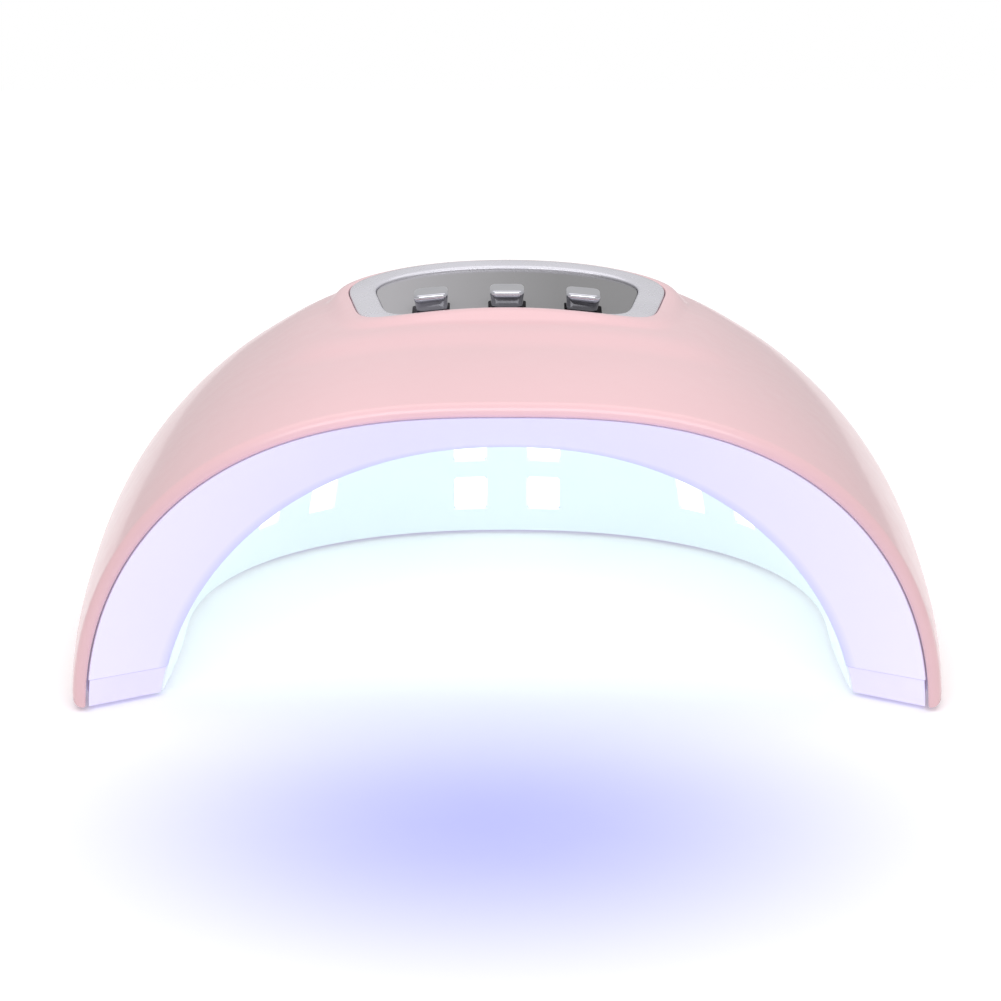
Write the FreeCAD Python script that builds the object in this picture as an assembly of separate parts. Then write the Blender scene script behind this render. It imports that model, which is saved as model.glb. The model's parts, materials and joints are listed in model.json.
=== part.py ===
import FreeCAD, Part
import math
import os

# A small arched UV LED nail lamp. The hand goes in at the front, under the arch.
# Millimetres. x runs across, y is measured back from the front rim, z up from the table;
# save() moves the front rim to -DEPTH / 2, so the origin is under the middle of the lamp.

# ---- driving dimensions -------------------------------------------------------------
DEPTH = 136.0              # front rim to the back of the shell
HALF_WIDTH = 76.3          # widest half width of the shell
WIDEST_AT = 34.7           # depth where the shell is widest
CREST = 59.6               # height of the dome before the collar is added
CREST_AT = 75.0            # depth of that highest point
FOOT_PROUD = 0.8           # rubber feet below the shell's edge
WALL = 2.1                 # shell wall
AHEAD = 45.0               # the dome is drawn this far past the rim, then cut there
PLAN_POWERS = (3.4, 2.95)  # fullness of the outline seen from above, front and back
RIDGE_POWERS = (3.0, 3.12)  # fullness of the ridge seen from the side, front and back
SECTION_POWERS = (2.75, 2.6, 2.12)  # fullness of a cross-section: rim, widest, back

# control panel outline: a trapezoid with rounded corners, wider at the back
PANEL_AT = 66.0            # depth of the outline's middle
PANEL_HALF_DEPTH = 20.6
PANEL_HALF_WIDTH = 28.5
PANEL_TAPER = 0.12         # half width gained per mm towards the back
PANEL_POWERS = (6.0, 3.6)  # squareness of its front and back corners
PANEL_TOP = 62.5           # height of the bezel's back edge
PANEL_PITCH = 0.027        # slope of the panel towards the front
PANEL_CAMBER = 0.0035      # the panel falls by this times x squared
LIP = 0.6                  # extra height of the collar in front of the panel
BACK_DROP = 0.35           # the collar's back edge below the bezel
COLLAR_TOP = 1.2           # width of the collar's level top
COLLAR_RUN = 4.6           # out to the foot of its outer slope
SHOULDER = (1.1, 8.0, 17.0)  # low second step: height, where it is full, where it ends
SHOULDER_FADE = 0.45       # share of the shoulder's height lost at the back
BEZEL_WIDTH = 4.9
FRONT_BAR = 0.3            # the bezel's front bar, as a share of its width elsewhere
PLATE_DROP = 0.8           # panel plate below the bezel's edge
PLATE = 1.6                # panel plate thickness

# reflector, measured on its inner, visible surface
LINER = 1.5
LINER_HALF_WIDTH = 58.5
LINER_STRAIGHT = 51.0      # depth where the side walls start to close
LINER_BACK = 124.0
LINER_FLARE = 2.6          # extra half width at the rim
LINER_CREST = 48.0
LINER_CREST_AT = 60.0
LINER_FALL = 4.75          # the ceiling is this much lower at the rim
LINER_POWERS = (2.2, 3.0)  # fullness in plan and along the ceiling
LINER_SECTION = 2.15
LINER_SINK = 0.18          # centre of the cross-section below the table, as a share of height
CEILING = 45.4             # flat pad in the ceiling for the top light plate
CEILING_RADIUS = 21.0
CEILING_AT = 64.0

# front frame between the shell's rim and the reflector
FRAME_WALL = 1.6
FRAME_FRONT = 0.5
FRAME_BACK = 9.6
FOOT_BAND = 4.6            # height of the base frame

# buttons
BUTTON = 6.2
BUTTON_PITCH = 13.7
BUTTON_AT = 53.4
BUTTON_PROUD = 3.2
BUTTON_TRAVEL = 0.45
BOARD_TOP = 52.4
BOARD = 1.6

# lights
LENS = 6.3
LENS_THICK = 1.0
LENS_PROUD = 0.2           # the lenses stand this far into the cavity
CHIP = 5.0
CHIP_THICK = 0.8
STRIP_OUT = 2.2            # light boards start this far outside the reflector's visible side
STRIP = 0.8
REAR_LIGHTS = [(-7.15, 8.4), (7.15, 8.4), (-7.15, 18.2), (7.15, 18.2)]  # x, z
SIDE_LIGHTS = [(52.0, 11.4), (36.5, 11.4), (14.0, 12.5), (-16.0, 12.5)]  # angle, z
TOP_LIGHTS = [(60 * k, 13.0) for k in range(6)]  # angle, radius

BASE = FOOT_PROUD
GAP = 0.3
V = FreeCAD.Vector
UP = V(0, 0, 1)


# ---- small helpers --------------------------------------------------------------------
def save(name, *solids):
    """Writes one node, moved so that the origin is under the middle of the lamp."""
    shape = solids[0] if len(solids) == 1 else Part.makeCompound(list(solids))
    shape = shape.copy()
    shape.translate(V(0, -DEPTH / 2, 0))
    for solid in shape.Solids:
        if not solid.isValid() or solid.Volume <= 0:
            print("CHECK", name, "valid", solid.isValid(), "volume", round(solid.Volume, 2))
    print(f"{name:26s} solids {len(shape.Solids):2d}  volume {shape.Volume:10.1f}")
    shape.exportStep(f"parts/{name}.step")


def ease(t):
    """0 to 1 with level ends."""
    t = min(1.0, max(0.0, t))
    return t * t * (3 - 2 * t)


def fall(share, power):
    """A superellipse's height at a share of its half length."""
    return max(0.0, 1 - min(1.0, max(0.0, share)) ** power) ** (1 / power)


def reach(inside, far):
    """The largest length below far for which inside(length) still holds."""
    near = 0.0
    for _ in range(48):
        middle = (near + far) / 2
        if inside(middle):
            near = middle
        else:
            far = middle
    return near


def closed_curve(points):
    """A smooth closed curve through points."""
    curve = Part.BSplineCurve()
    curve.interpolate(Points=points, PeriodicFlag=True)
    return curve.toShape()


def open_curve(points):
    """A smooth open curve through points."""
    curve = Part.BSplineCurve()
    curve.interpolate(points)
    return curve.toShape()


def solid_of(faces):
    """A closed solid from faces that share their edges."""
    shell = Part.makeShell(faces)
    shell.sewShape()
    solid = Part.makeSolid(shell.Shells[0] if shell.Shells else shell)
    if solid.Volume < 0:
        solid.reverse()
    return solid


def block(width, depth, height, x, y, z):
    """A block centred on x and y, standing on z."""
    return Part.makeBox(width, depth, height, V(x - width / 2, y - depth / 2, z))


def rounded(width, depth, height, radius, x, y, z):
    """A block with rounded upright edges, centred on x and y, standing on z."""
    solid = block(width, depth, height, x, y, z)
    upright = [e for e in solid.Edges if abs(e.tangentAt(e.FirstParameter).z) > 0.99]
    return solid.makeFillet(radius, upright)


def post(radius, low, high, x, y):
    return Part.makeCylinder(radius, high - low, V(x, y, low))


# ---- dome surfaces ----------------------------------------------------------------------
def half_width(y, inset):
    if y < WIDEST_AT:
        share = (WIDEST_AT - y) / (WIDEST_AT + AHEAD - inset)
        return (HALF_WIDTH - inset) * fall(share, PLAN_POWERS[0])
    return (HALF_WIDTH - inset) * fall((y - WIDEST_AT) / (DEPTH - WIDEST_AT - inset), PLAN_POWERS[1])


def ridge(y, inset):
    """Height of the dome above its own edge, along the middle."""
    top = CREST - BASE - inset
    if y < CREST_AT:
        return top * fall((CREST_AT - y) / (CREST_AT + AHEAD - inset), RIDGE_POWERS[0])
    return top * fall((y - CREST_AT) / (DEPTH - CREST_AT - inset), RIDGE_POWERS[1])


def section_power(y):
    rim, widest, back = SECTION_POWERS
    if y < WIDEST_AT:
        return rim + (widest - rim) * max(0.0, y) / WIDEST_AT
    return widest + (back - widest) * min(1.0, (y - WIDEST_AT) / (DEPTH - WIDEST_AT))


def dome_height(x, y, inset):
    """Height of the plain dome above the table."""
    half = half_width(y, inset)
    if half <= abs(x):
        return BASE
    return BASE + ridge(y, inset) * math.sqrt(1 - (abs(x) / half) ** section_power(y))


def panel_inside(x, y, grow):
    """True inside the panel's outline grown by that much."""
    front_grow = grow * FRONT_BAR if grow < 0 else grow
    along = (y - PANEL_AT) / (PANEL_HALF_DEPTH + (front_grow if y < PANEL_AT else grow))
    power = PANEL_POWERS[0] if along < 0 else PANEL_POWERS[1]
    across = x / (PANEL_HALF_WIDTH + grow + PANEL_TAPER * max(-20.0, min(14.0, y - PANEL_AT)))
    return abs(across) ** power + abs(along) ** power < 1


def panel_point(angle, grow):
    """The panel outline's point at an angle round its middle."""
    c, s = math.cos(angle), math.sin(angle)
    r = reach(lambda length: panel_inside(length * c, PANEL_AT + length * s, grow), 80)
    return r * c, PANEL_AT + r * s


def bezel_level(x, y):
    """The surface that the bezel's edge lies in."""
    return PANEL_TOP - PANEL_CAMBER * x * x - PANEL_PITCH * (PANEL_AT + PANEL_HALF_DEPTH - y)


def collar_level(x, y):
    """The collar's crest: proud of the bezel in front and a little below it behind."""
    front = min(1.3, max(0.0, (PANEL_AT - y) / PANEL_HALF_DEPTH) ** 2)
    behind = min(1.0, max(0.0, (y - PANEL_AT) / PANEL_HALF_DEPTH) ** 2)
    return bezel_level(x, y) + LIP * front * (1 - (x / 34) ** 2) - BACK_DROP * behind


def shell_height(x, y, out, inset):
    """Height of the shell: the dome, a low shoulder, and the collar round the panel."""
    step, full, end = SHOULDER
    step *= 1 - SHOULDER_FADE * min(1.0, max(0.0, (y - PANEL_AT) / PANEL_HALF_DEPTH))
    low = dome_height(x, y, inset) + step * ease((end - out) / (end - full))
    collar = collar_level(x, y) - inset
    return low + (collar - low) * ease((COLLAR_RUN - out) / (COLLAR_RUN - COLLAR_TOP))


ROUND = 96                                          # columns round the dome
COLLAR_ROWS = [0.0, 0.7, 1.4, 2.1, 2.8, 3.5, 4.2, 5.0, 6.2, 8.0, 10.2, 12.6]
SKIRT_ROWS = 17
FAR = 160.0                # farther than any edge of the lamp
CAP = 4.0                  # radius of the flat cap where the columns start


def ring_rows(centre_y, cap_radius, cap_level, start, edge, level):
    """Rows of points from a small flat cap out to the edge of a dome.

    start(angle) lists the points of the middle rows, edge(angle) gives the radius of the
    dome's outline, and level(x, y) its height there."""
    rows = []
    for k in range(ROUND):
        angle = 2 * math.pi * k / ROUND
        c, s = math.cos(angle), math.sin(angle)
        column = [V(cap_radius * c, centre_y + cap_radius * s, cap_level)]
        column += start(angle)
        inner = math.hypot(column[-1].x, column[-1].y - centre_y)
        outer = edge(angle)
        for j in range(1, SKIRT_ROWS + 1):
            r = inner + (outer - inner) * math.sin(math.pi / 2 * j / SKIRT_ROWS)
            x, y = r * c, centre_y + r * s
            column.append(V(x, y, BASE if j == SKIRT_ROWS else level(x, y)))
        rows.append(column)
    return rows


def sharpen(points, closed):
    """Poles whose cubic curve runs very nearly through points."""
    count = len(points)
    poles = list(points)
    for k in range(0 if closed else 2, count if closed else count - 2):
        before, after = points[k - 1], points[(k + 1) % count]
        poles[k] = points[k] * (4 / 3) - (before + after) * (1 / 6)
    return poles


def dome_solid(columns):
    """A solid under a smooth surface whose rows run from a flat cap to a flat base."""
    rows = [sharpen([column[j] for column in columns], True) for j in range(len(columns[0]))]
    poles = [sharpen([row[k] for row in rows], False) for k in range(len(rows[0]))]
    down = len(poles[0])
    knots = list(range(down - 2))
    surface = Part.BSplineSurface()
    surface.buildFromPolesMultsKnots(
        poles, [1] * (ROUND + 1), [4] + [1] * (down - 4) + [4],
        list(range(ROUND + 1)), knots, True, False, 3, 3)
    side = surface.toShape()
    rings = [e for e in side.Edges if e.isClosed() and not e.isSeam(side.Faces[0])]
    return solid_of([side] + [Part.Face(Part.Wire(e)) for e in rings])


def shell_solid(inset):
    """The shell's outer surface filled solid, or its inner one when inset is the wall."""
    def start(angle):
        column = []
        for share in (0.3, 0.6, 0.85):
            x, y = panel_point(angle, 0)
            x, y = share * x, PANEL_AT + share * (y - PANEL_AT)
            column.append(V(x, y, collar_level(x, y) - inset))
        for out in COLLAR_ROWS:
            x, y = panel_point(angle, out)
            column.append(V(x, y, shell_height(x, y, out, inset)))
        return column

    def level(x, y):
        out = COLLAR_ROWS[-1]
        while out < SHOULDER[2] and not panel_inside(x, y, out + 0.4):
            out += 0.4
        return shell_height(x, y, out, inset)

    def edge(angle):
        c, s = math.cos(angle), math.sin(angle)
        return reach(lambda r: abs(r * c) < half_width(PANEL_AT + r * s, inset), FAR)

    return dome_solid(ring_rows(PANEL_AT, CAP, PANEL_TOP - 0.4 - inset, start, edge, level))


# ---- reflector surfaces -------------------------------------------------------------------
def liner_half(y, inset):
    """Half width of the reflector at the table; a negative inset gives its outer side."""
    half = LINER_HALF_WIDTH - inset
    if y < LINER_STRAIGHT:
        return half + LINER_FLARE * (1 - y / LINER_STRAIGHT) ** 2
    run = LINER_BACK - LINER_STRAIGHT - inset
    return half * fall((y - LINER_STRAIGHT) / run, LINER_POWERS[0])


def liner_ridge(y, inset):
    top = LINER_CREST - BASE - inset
    if y < LINER_CREST_AT:
        return top - LINER_FALL * ((LINER_CREST_AT - y) / LINER_CREST_AT) ** 2
    run = LINER_BACK - LINER_CREST_AT - inset
    return top * fall((y - LINER_CREST_AT) / run, LINER_POWERS[1])


def arch_share(share):
    """Height of an arch at a share of its half width; its centre lies below the table."""
    sink = LINER_SINK
    reach_out = (1 - (sink / (1 + sink)) ** 2) ** (1 / LINER_SECTION)
    return (1 + sink) * math.sqrt(max(0.0, 1 - (reach_out * share) ** LINER_SECTION)) - sink


def liner_height(x, y, inset):
    half = liner_half(y, inset)
    if half <= abs(x):
        return BASE
    return BASE + liner_ridge(y, inset) * arch_share(abs(x) / half)


def liner_solid(inset):
    """The space under the reflector, or the reflector filled solid when inset is negative."""
    def start(angle):
        column = []
        for r in (0.55 * CEILING_RADIUS, CEILING_RADIUS + 0.5, CEILING_RADIUS + 2.5):
            column.append(V(r * math.cos(angle), CEILING_AT + r * math.sin(angle), CEILING - inset))
        for r in (CEILING_RADIUS + 4.5, CEILING_RADIUS + 6.5):
            x, y = r * math.cos(angle), CEILING_AT + r * math.sin(angle)
            blend = ease((r - CEILING_RADIUS - 2.5) / 6)
            level = CEILING - inset
            column.append(V(x, y, level + blend * (liner_height(x, y, inset) - level)))
        return column

    def edge(angle):
        # in front the surface runs on past the rim, to a bowed end that is cut off later
        c, s = math.cos(angle), math.sin(angle)
        ahead, bow = CEILING_AT + AHEAD / 2, 1.5 * LINER_HALF_WIDTH
        return reach(lambda r: abs(r * c) < liner_half(CEILING_AT + r * s, inset)
                     and r * s > -ahead * (1 - (r * c / bow) ** 4), FAR)

    def level(x, y):
        return liner_height(x, y, inset)

    return dome_solid(ring_rows(CEILING_AT, CAP, CEILING - inset, start, edge, level))


def liner_point(angle, z, outward):
    """Point of the reflector's wall at an angle round its middle and a height."""
    c, s = math.cos(angle), math.sin(angle)
    r = reach(lambda r: liner_height(r * c, CEILING_AT + r * s, -outward) > z, 100)
    return V(r * c, CEILING_AT + r * s, z)


def liner_facing(angle, z):
    """The wall's direction out of the cavity, and its level direction, at that point."""
    along = liner_point(angle + 0.02, z, 0) - liner_point(angle - 0.02, z, 0)
    upward = liner_point(angle, z + 0.5, 0) - liner_point(angle, z - 0.5, 0)
    outward = along.cross(upward).normalize()
    if outward.dot(V(math.cos(angle), math.sin(angle), 0)) < 0:
        outward = outward * -1
    return outward, along.normalize()


def facing_block(width, height, depth, place, outward, level):
    """A block whose depth runs outward from a place on a wall."""
    solid = Part.makeBox(width, height, depth, V(-width / 2, -height / 2, 0))
    turn = FreeCAD.Placement(place, FreeCAD.Rotation(level, outward.cross(level), outward, "ZXY"))
    solid.Placement = turn
    return solid


# ---- arches of the front frame ------------------------------------------------------------
def arch(y, top_at):
    """A smooth arch from foot to foot at depth y, under the height that top_at(x) gives."""
    points = []
    for k in range(49):
        angle = math.pi * k / 48
        c, s = math.cos(angle), math.sin(angle)
        r = reach(lambda r: r * s < top_at(r * c) - BASE + 1e-9 and top_at(r * c) > BASE, 120)
        points.append(V(r * c, y, BASE + r * s))
    points[0].z = BASE
    points[-1].z = BASE
    return open_curve(points)


def rim_arch(y, inset):
    """Parallel to the inside of the shell at that depth."""
    return arch(y, lambda x: dome_height(x, y, WALL + GAP + inset))


def mouth_arch(y, inset):
    """Parallel to the reflector's front edge; a negative inset lies outside it."""
    return arch(y, lambda x: liner_height(x, FRAME_BACK, inset))


def arch_ring(curves):
    """A solid band through a closed loop of arches, standing on its two feet."""
    loop = list(zip(curves, curves[1:] + curves[:1]))
    faces = [Part.makeRuledSurface(first, second) for first, second in loop]
    for end in (0, -1):
        corners = [curve.Vertexes[end].Point for curve in curves]
        faces.append(Part.Face(Part.makePolygon(corners + corners[:1])))
    return solid_of(faces)


def frame_band():
    """The front frame: a slanting face from rim to mouth with a short flange at each."""
    back = FRAME_BACK + 1.2
    flange = FRAME_FRONT + 3.4
    return arch_ring([
        rim_arch(FRAME_FRONT, 0), mouth_arch(FRAME_BACK, 0), mouth_arch(back, 0),
        mouth_arch(back, -FRAME_WALL), rim_arch(flange, 2.2), rim_arch(flange, 0)])


# ---- shell and its inside -------------------------------------------------------------------
os.makedirs("parts", exist_ok=True)

SCREWS = [(side * x, y) for x, y in ((67.4, 33.0), (60.0, 92.5), (20.5, 128.6)) for side in (-1, 1)]
FEET = [(side * x, y) for x, y in ((67.2, 20.0), (50.0, 109.5)) for side in (-1, 1)]
SOCKET_Z = 11.0

outside = shell_solid(0)
inside = shell_solid(WALL)
in_front = block(300, 200, 200, 0, -100, -50)


def panel_prism(grow, low, high):
    """The panel outline's upright prism between two heights."""
    points = [panel_point(2 * math.pi * k / 72, grow) for k in range(72)]
    base = closed_curve([V(x, y, low) for x, y in points])
    return Part.Face(Part.Wire(base)).extrude(V(0, 0, high - low))


shell = outside.cut(inside).cut(panel_prism(0, 40, 80)).cut(in_front)
posts = [post(3.0, BASE + FOOT_BAND, 56, x, y) for x, y in SCREWS]
within = shell_solid(WALL / 2).cut(in_front)
shell = shell.fuse([p.common(within) for p in posts])
shell = shell.cut([post(1.1, BASE, 15, x, y) for x, y in SCREWS])
mouth_hole = rounded(9.8, 3.9, 16, 1.8, 0, 0, 0)
mouth_hole.Placement = FreeCAD.Placement(V(0, DEPTH - 8, SOCKET_Z), FreeCAD.Rotation(V(1, 0, 0), -90))
shell = shell.cut(mouth_hole)
VENTS = [side * (17 + 5 * k) for side in (-1, 1) for k in range(4)]


def vent_slot(x):
    """An upright slot with round ends through the shell's back wall."""
    slot = rounded(2.0, 13.0, 30, 0.95, 0, 0, 0)
    slot.Placement = FreeCAD.Placement(V(x, DEPTH - 28, 26.5), FreeCAD.Rotation(V(1, 0, 0), -90))
    return slot


shell = shell.cut([vent_slot(x) for x in VENTS])
save("outer_shell", shell)

# ---- reflector ------------------------------------------------------------------------------
liner_top = liner_solid(-LINER)
liner_space = liner_solid(0)
liner_front = block(300, 200, 200, 0, FRAME_BACK + 1.4 - 100, -50)
reflector = liner_top.cut(liner_space).cut(liner_front)
reflector = reflector.cut(post(CEILING_RADIUS - 1.5, 40, 60, 0, CEILING_AT))


def side_angle(degrees, side):
    angle = math.radians(degrees)
    return angle if side > 0 else math.pi - angle


def light_places():
    """Each light's group, centre on the reflector's visible side, and directions."""
    places = []
    for x, z in REAR_LIGHTS:
        angle = math.pi / 2
        for _ in range(8):
            angle += (liner_point(angle, z, 0).x - x) / 60
        places.append(("rear", liner_point(angle, z, 0), *liner_facing(angle, z)))
    for name, side in (("left", -1), ("right", 1)):
        for degrees, z in SIDE_LIGHTS:
            angle = side_angle(degrees, side)
            places.append((name, liner_point(angle, z, 0), *liner_facing(angle, z)))
    for degrees, r in TOP_LIGHTS:
        angle = math.radians(degrees)
        place = V(r * math.cos(angle), CEILING_AT + r * math.sin(angle), CEILING)
        places.append(("top", place, UP, V(1, 0, 0)))
    return places


LIGHTS = light_places()


def light_blocks(group, size, thick, start):
    """One block for each light of a group, its depth starting that far out of the wall."""
    return [facing_block(size, size, thick, place + outward * start, outward, level)
            for name, place, outward, level in LIGHTS if name == group]


windows = []
for group in ("rear", "left", "right"):
    windows += light_blocks(group, LENS + 0.3, 6, -2)
reflector = reflector.cut(windows)
save("reflector_dome", reflector)

# the ceiling's round plate: a disc in the reflector's hole, hung from a rim above it
plate_back = CEILING + LINER
top_plate = post(CEILING_RADIUS - 1.7, CEILING, plate_back + 1.0, 0, CEILING_AT)
top_plate = top_plate.fuse(post(CEILING_RADIUS + 1.5, plate_back + 0.05, plate_back + 1.0, 0, CEILING_AT))
top_plate = top_plate.cut(post(CEILING_RADIUS - 3.2, plate_back, 60, 0, CEILING_AT))
top_plate = top_plate.cut(light_blocks("top", LENS + 0.3, 6, -2))
save("top_light_plate", top_plate)

# ---- front frame and base frame ---------------------------------------------------------------
band = frame_band()
save("front_frame", band.cut(block(300, 400, 20, 0, 0, BASE + FOOT_BAND - 20 + 0.1)))


def foot_wedges():
    """The base frame's two front feet, set back a little under the front frame."""
    step = 0.25
    back = FRAME_BACK + 1.2
    wedge = arch_ring([rim_arch(FRAME_FRONT + step, step), mouth_arch(FRAME_BACK, -step),
                       mouth_arch(back, -step), rim_arch(back, step)])
    return wedge.common(block(300, 200, FOOT_BAND, 0, 0, BASE))


def outline_face(half, inset, z):
    """A flat face inside a plan outline given by half(y, inset)."""
    points = []
    for k in range(ROUND):
        angle = 2 * math.pi * k / ROUND
        c, s = math.cos(angle), math.sin(angle)
        r = reach(lambda r: abs(r * c) < half(PANEL_AT + r * s, inset)
                  and r * s > -PANEL_AT - AHEAD, FAR)
        points.append(V(r * c, PANEL_AT + r * s, z))
    return Part.Face(Part.Wire(closed_curve(points)))


BASE_THICK = 3.6
base = outline_face(half_width, WALL + GAP, BASE).extrude(V(0, 0, BASE_THICK))
base = base.cut(outline_face(liner_half, -LINER - GAP, BASE - 1).extrude(V(0, 0, 8)))
base = base.cut(block(300, 200, 20, 0, FRAME_BACK + 0.6 - 100, -5))
base = base.fuse(foot_wedges().Solids)
POWER_POSTS = [(-9.0, 130.6), (9.0, 130.6)]
POWER_Z = 9.35             # top of the power board
POWER_BOARD = 1.0
base = base.fuse([post(1.9, BASE, POWER_Z - POWER_BOARD, x, y) for x, y in POWER_POSTS])
base = base.cut([post(0.85, 5, 12, x, y) for x, y in POWER_POSTS])
base = base.cut([post(1.6, 0, 9, x, y) for x, y in SCREWS])
base = base.cut([post(3.1, 0, BASE + 1.8, x, y) for x, y in SCREWS])
base = base.cut([post(4.2, 0, BASE + 0.4, x, y) for x, y in FEET])
save("base_frame", base)
save("rubber_feet", *[post(4.0, 0, BASE + 0.35, x, y) for x, y in FEET])


def screw(x, y, head_z, head, head_high, shank, length, up=1):
    """A cross-head screw whose head starts at head_z and whose shank points up or down."""
    solid = post(head, 0, head_high, 0, 0)
    solid = solid.fuse(post(shank, head_high, head_high + length, 0, 0))
    cross = 0.28 * head
    solid = solid.cut([block(1.3 * head, cross, 0.5 * head_high, 0, 0, -0.01),
                       block(cross, 1.3 * head, 0.5 * head_high, 0, 0, -0.01)])
    if up < 0:
        solid.rotate(V(0, 0, 0), V(1, 0, 0), 180)
    solid.translate(V(x, y, head_z))
    return solid


save("base_screws", *[screw(x, y, BASE + 0.1, 2.8, 1.65, 1.05, 9.0) for x, y in SCREWS])


# ---- control panel ------------------------------------------------------------------------------
def panel_ring(profile):
    """A closed ring round the panel; profile lists (growth of the outline, height above bezel)."""
    curves = []
    for grow, rise in profile:
        places = [panel_point(2 * math.pi * k / 72, grow) for k in range(72)]
        curves.append(closed_curve([V(x, y, bezel_level(x, y) + rise) for x, y in places]))
    loop = list(zip(curves, curves[1:] + curves[:1]))
    return solid_of([Part.makeRuledSurface(first, second) for first, second in loop])


FLANGE = (-3.0, -3.9)      # top and underside of the bezel's flange, below its edge
bezel = panel_ring([
    (-0.15, -0.3), (-0.5, -0.02), (-1.6, 0.08), (-3.2, -0.06), (-4.3, -0.34),
    (-BEZEL_WIDTH, -0.8), (-BEZEL_WIDTH, -PLATE_DROP - PLATE - 0.05),
    (-BEZEL_WIDTH - 1.5, -PLATE_DROP - PLATE - 0.05), (-BEZEL_WIDTH - 1.5, FLANGE[1]),
    (2.2, FLANGE[1]), (2.2, FLANGE[0]), (-0.15, FLANGE[0])])
BOARD_POSTS = [(side * x, y) for x, y in ((25.2, 51.5), (24.2, 78.0)) for side in (-1, 1)]
bezel = bezel.fuse([post(2.1, BOARD_TOP, bezel_level(x, y) + FLANGE[1] + 0.5, x, y)
                    for x, y in BOARD_POSTS])
bezel = bezel.cut([post(1.0, BOARD_TOP - 1, BOARD_TOP + 3.4, x, y) for x, y in BOARD_POSTS])
save("control_bezel", bezel)


def camber_slab(top, thick):
    """A slab that follows the panel's camber and pitch; top is measured from the bezel."""
    half, ahead, run = 40.0, 30.0, 70.0
    y = PANEL_AT - ahead
    level = bezel_level(0, y) + top
    bow = PANEL_CAMBER * half * half
    edges = []
    for drop, first in ((0, -half), (thick, half)):
        curve = Part.BezierCurve()
        z = level - drop
        curve.setPoles([V(first, y, z - bow), V(0, y, z + bow), V(-first, y, z - bow)])
        edges.append(curve.toShape())
    low, high = level - bow - thick, level - bow
    sides = [Part.makeLine(V(half, y, high), V(half, y, low)),
             Part.makeLine(V(-half, y, low), V(-half, y, high))]
    face = Part.Face(Part.Wire([edges[0], sides[0], edges[1], sides[1]]))
    return face.extrude(V(0, run, run * PANEL_PITCH))


def on_panel(solid, x):
    """Sets a solid made round the origin on the panel plate, square to it, at x."""
    normal = V(2 * PANEL_CAMBER * x, -PANEL_PITCH, 1).normalize()
    place = V(x, BUTTON_AT, bezel_level(x, BUTTON_AT) - PLATE_DROP)
    solid = solid.copy()
    solid.Placement = FreeCAD.Placement(place, FreeCAD.Rotation(UP, normal))
    return solid


BUTTONS = (("left", -BUTTON_PITCH), ("middle", 0.0), ("right", BUTTON_PITCH))
plate = camber_slab(-PLATE_DROP, PLATE).common(panel_prism(-BEZEL_WIDTH - 0.15, 40, 80))
hole = rounded(BUTTON + 0.6, BUTTON + 0.6, 8, 1.1, 0, 0, -5)
plate = plate.cut([on_panel(hole, x) for _, x in BUTTONS])
save("panel_plate", plate)

FLANGE_GAP = 0.35
FLANGE_THICK = 0.8
SWITCH = 3.0               # height of a switch body
KEY_DROP = 0.4             # stem under a button's flange
for name, x in BUTTONS:
    foot = -PLATE - FLANGE_GAP
    cap = rounded(BUTTON, BUTTON, BUTTON_PROUD - foot, 0.9, 0, 0, foot)
    top = [e for e in cap.Edges if e.BoundBox.ZMin > BUTTON_PROUD - 0.01]
    cap = cap.makeFillet(0.55, top)
    cap = cap.fuse(rounded(8.0, 8.0, FLANGE_THICK, 1.2, 0, 0, foot - FLANGE_THICK))
    cap = cap.fuse(block(2.6, 2.6, KEY_DROP, 0, 0, foot - FLANGE_THICK - KEY_DROP))
    cap = on_panel(cap, x)
    save(f"timer_button_{name}", cap)
    low = bezel_level(x, BUTTON_AT) - PLATE_DROP + foot - FLANGE_THICK - KEY_DROP
    body = rounded(6.0, 6.0, SWITCH, 0.5, x, BUTTON_AT, BOARD_TOP)
    body = body.cut(post(1.75, BOARD_TOP + SWITCH - 1.4, 60, x, BUTTON_AT))
    legs = [block(0.7, 1.1, 0.25, x + side * 3.3, BUTTON_AT + row * 2.0, BOARD_TOP)
            for side in (-1, 1) for row in (-1, 1)]
    save(f"timer_switch_{name}", body.fuse(legs))
    key = post(1.5, BOARD_TOP + SWITCH - 0.7, low - 0.15, x, BUTTON_AT)
    save(f"switch_plunger_{name}", key)

# ---- control board --------------------------------------------------------------------------------
BOARD_BOTTOM = BOARD_TOP - BOARD
board = rounded(56, 35.5, BOARD, 3, 0, 65.4, BOARD_BOTTOM)
board = board.cut([post(1.25, 40, 60, x, y) for x, y in BOARD_POSTS])
save("control_board", board)
save("board_screws", *[screw(x, y, BOARD_BOTTOM - 1.2, 2.0, 1.2, 0.9, 4.6) for x, y in BOARD_POSTS])
save("controller_chip", rounded(6.0, 5.0, 1.5, 0.3, -10, 66.5, BOARD_TOP))
save("driver_chips", *[rounded(4.9, 3.9, 1.4, 0.3, x, 67.5, BOARD_TOP) for x in (8.5, 16.0)])
save("driver_inductor", rounded(6.0, 6.0, 2.8, 1.2, 1.0, 65.0, BOARD_TOP))
CAN_HIGH = 4.2
can = post(2.5, BOARD_TOP, BOARD_TOP + CAN_HIGH, -18.5, 66.5)
can = can.makeFillet(0.5, [e for e in can.Edges if e.BoundBox.ZMin > BOARD_TOP + CAN_HIGH - 0.1])
save("storage_capacitor", can)
save("small_components", *[block(1.6, 0.8, 0.5, -14.5 + 3.2 * k, 72.6, BOARD_TOP) for k in range(10)])
SOCKETS = (-17.0, -5.0, 5.5, 17.0)
SOCKET_Y = 79.2
SOCKET_BACK = SOCKET_Y + 2.4
save("lead_sockets", *[rounded(6.4, 4.8, 3.4, 0.4, x, SOCKET_Y, BOARD_TOP) for x in SOCKETS])

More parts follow.
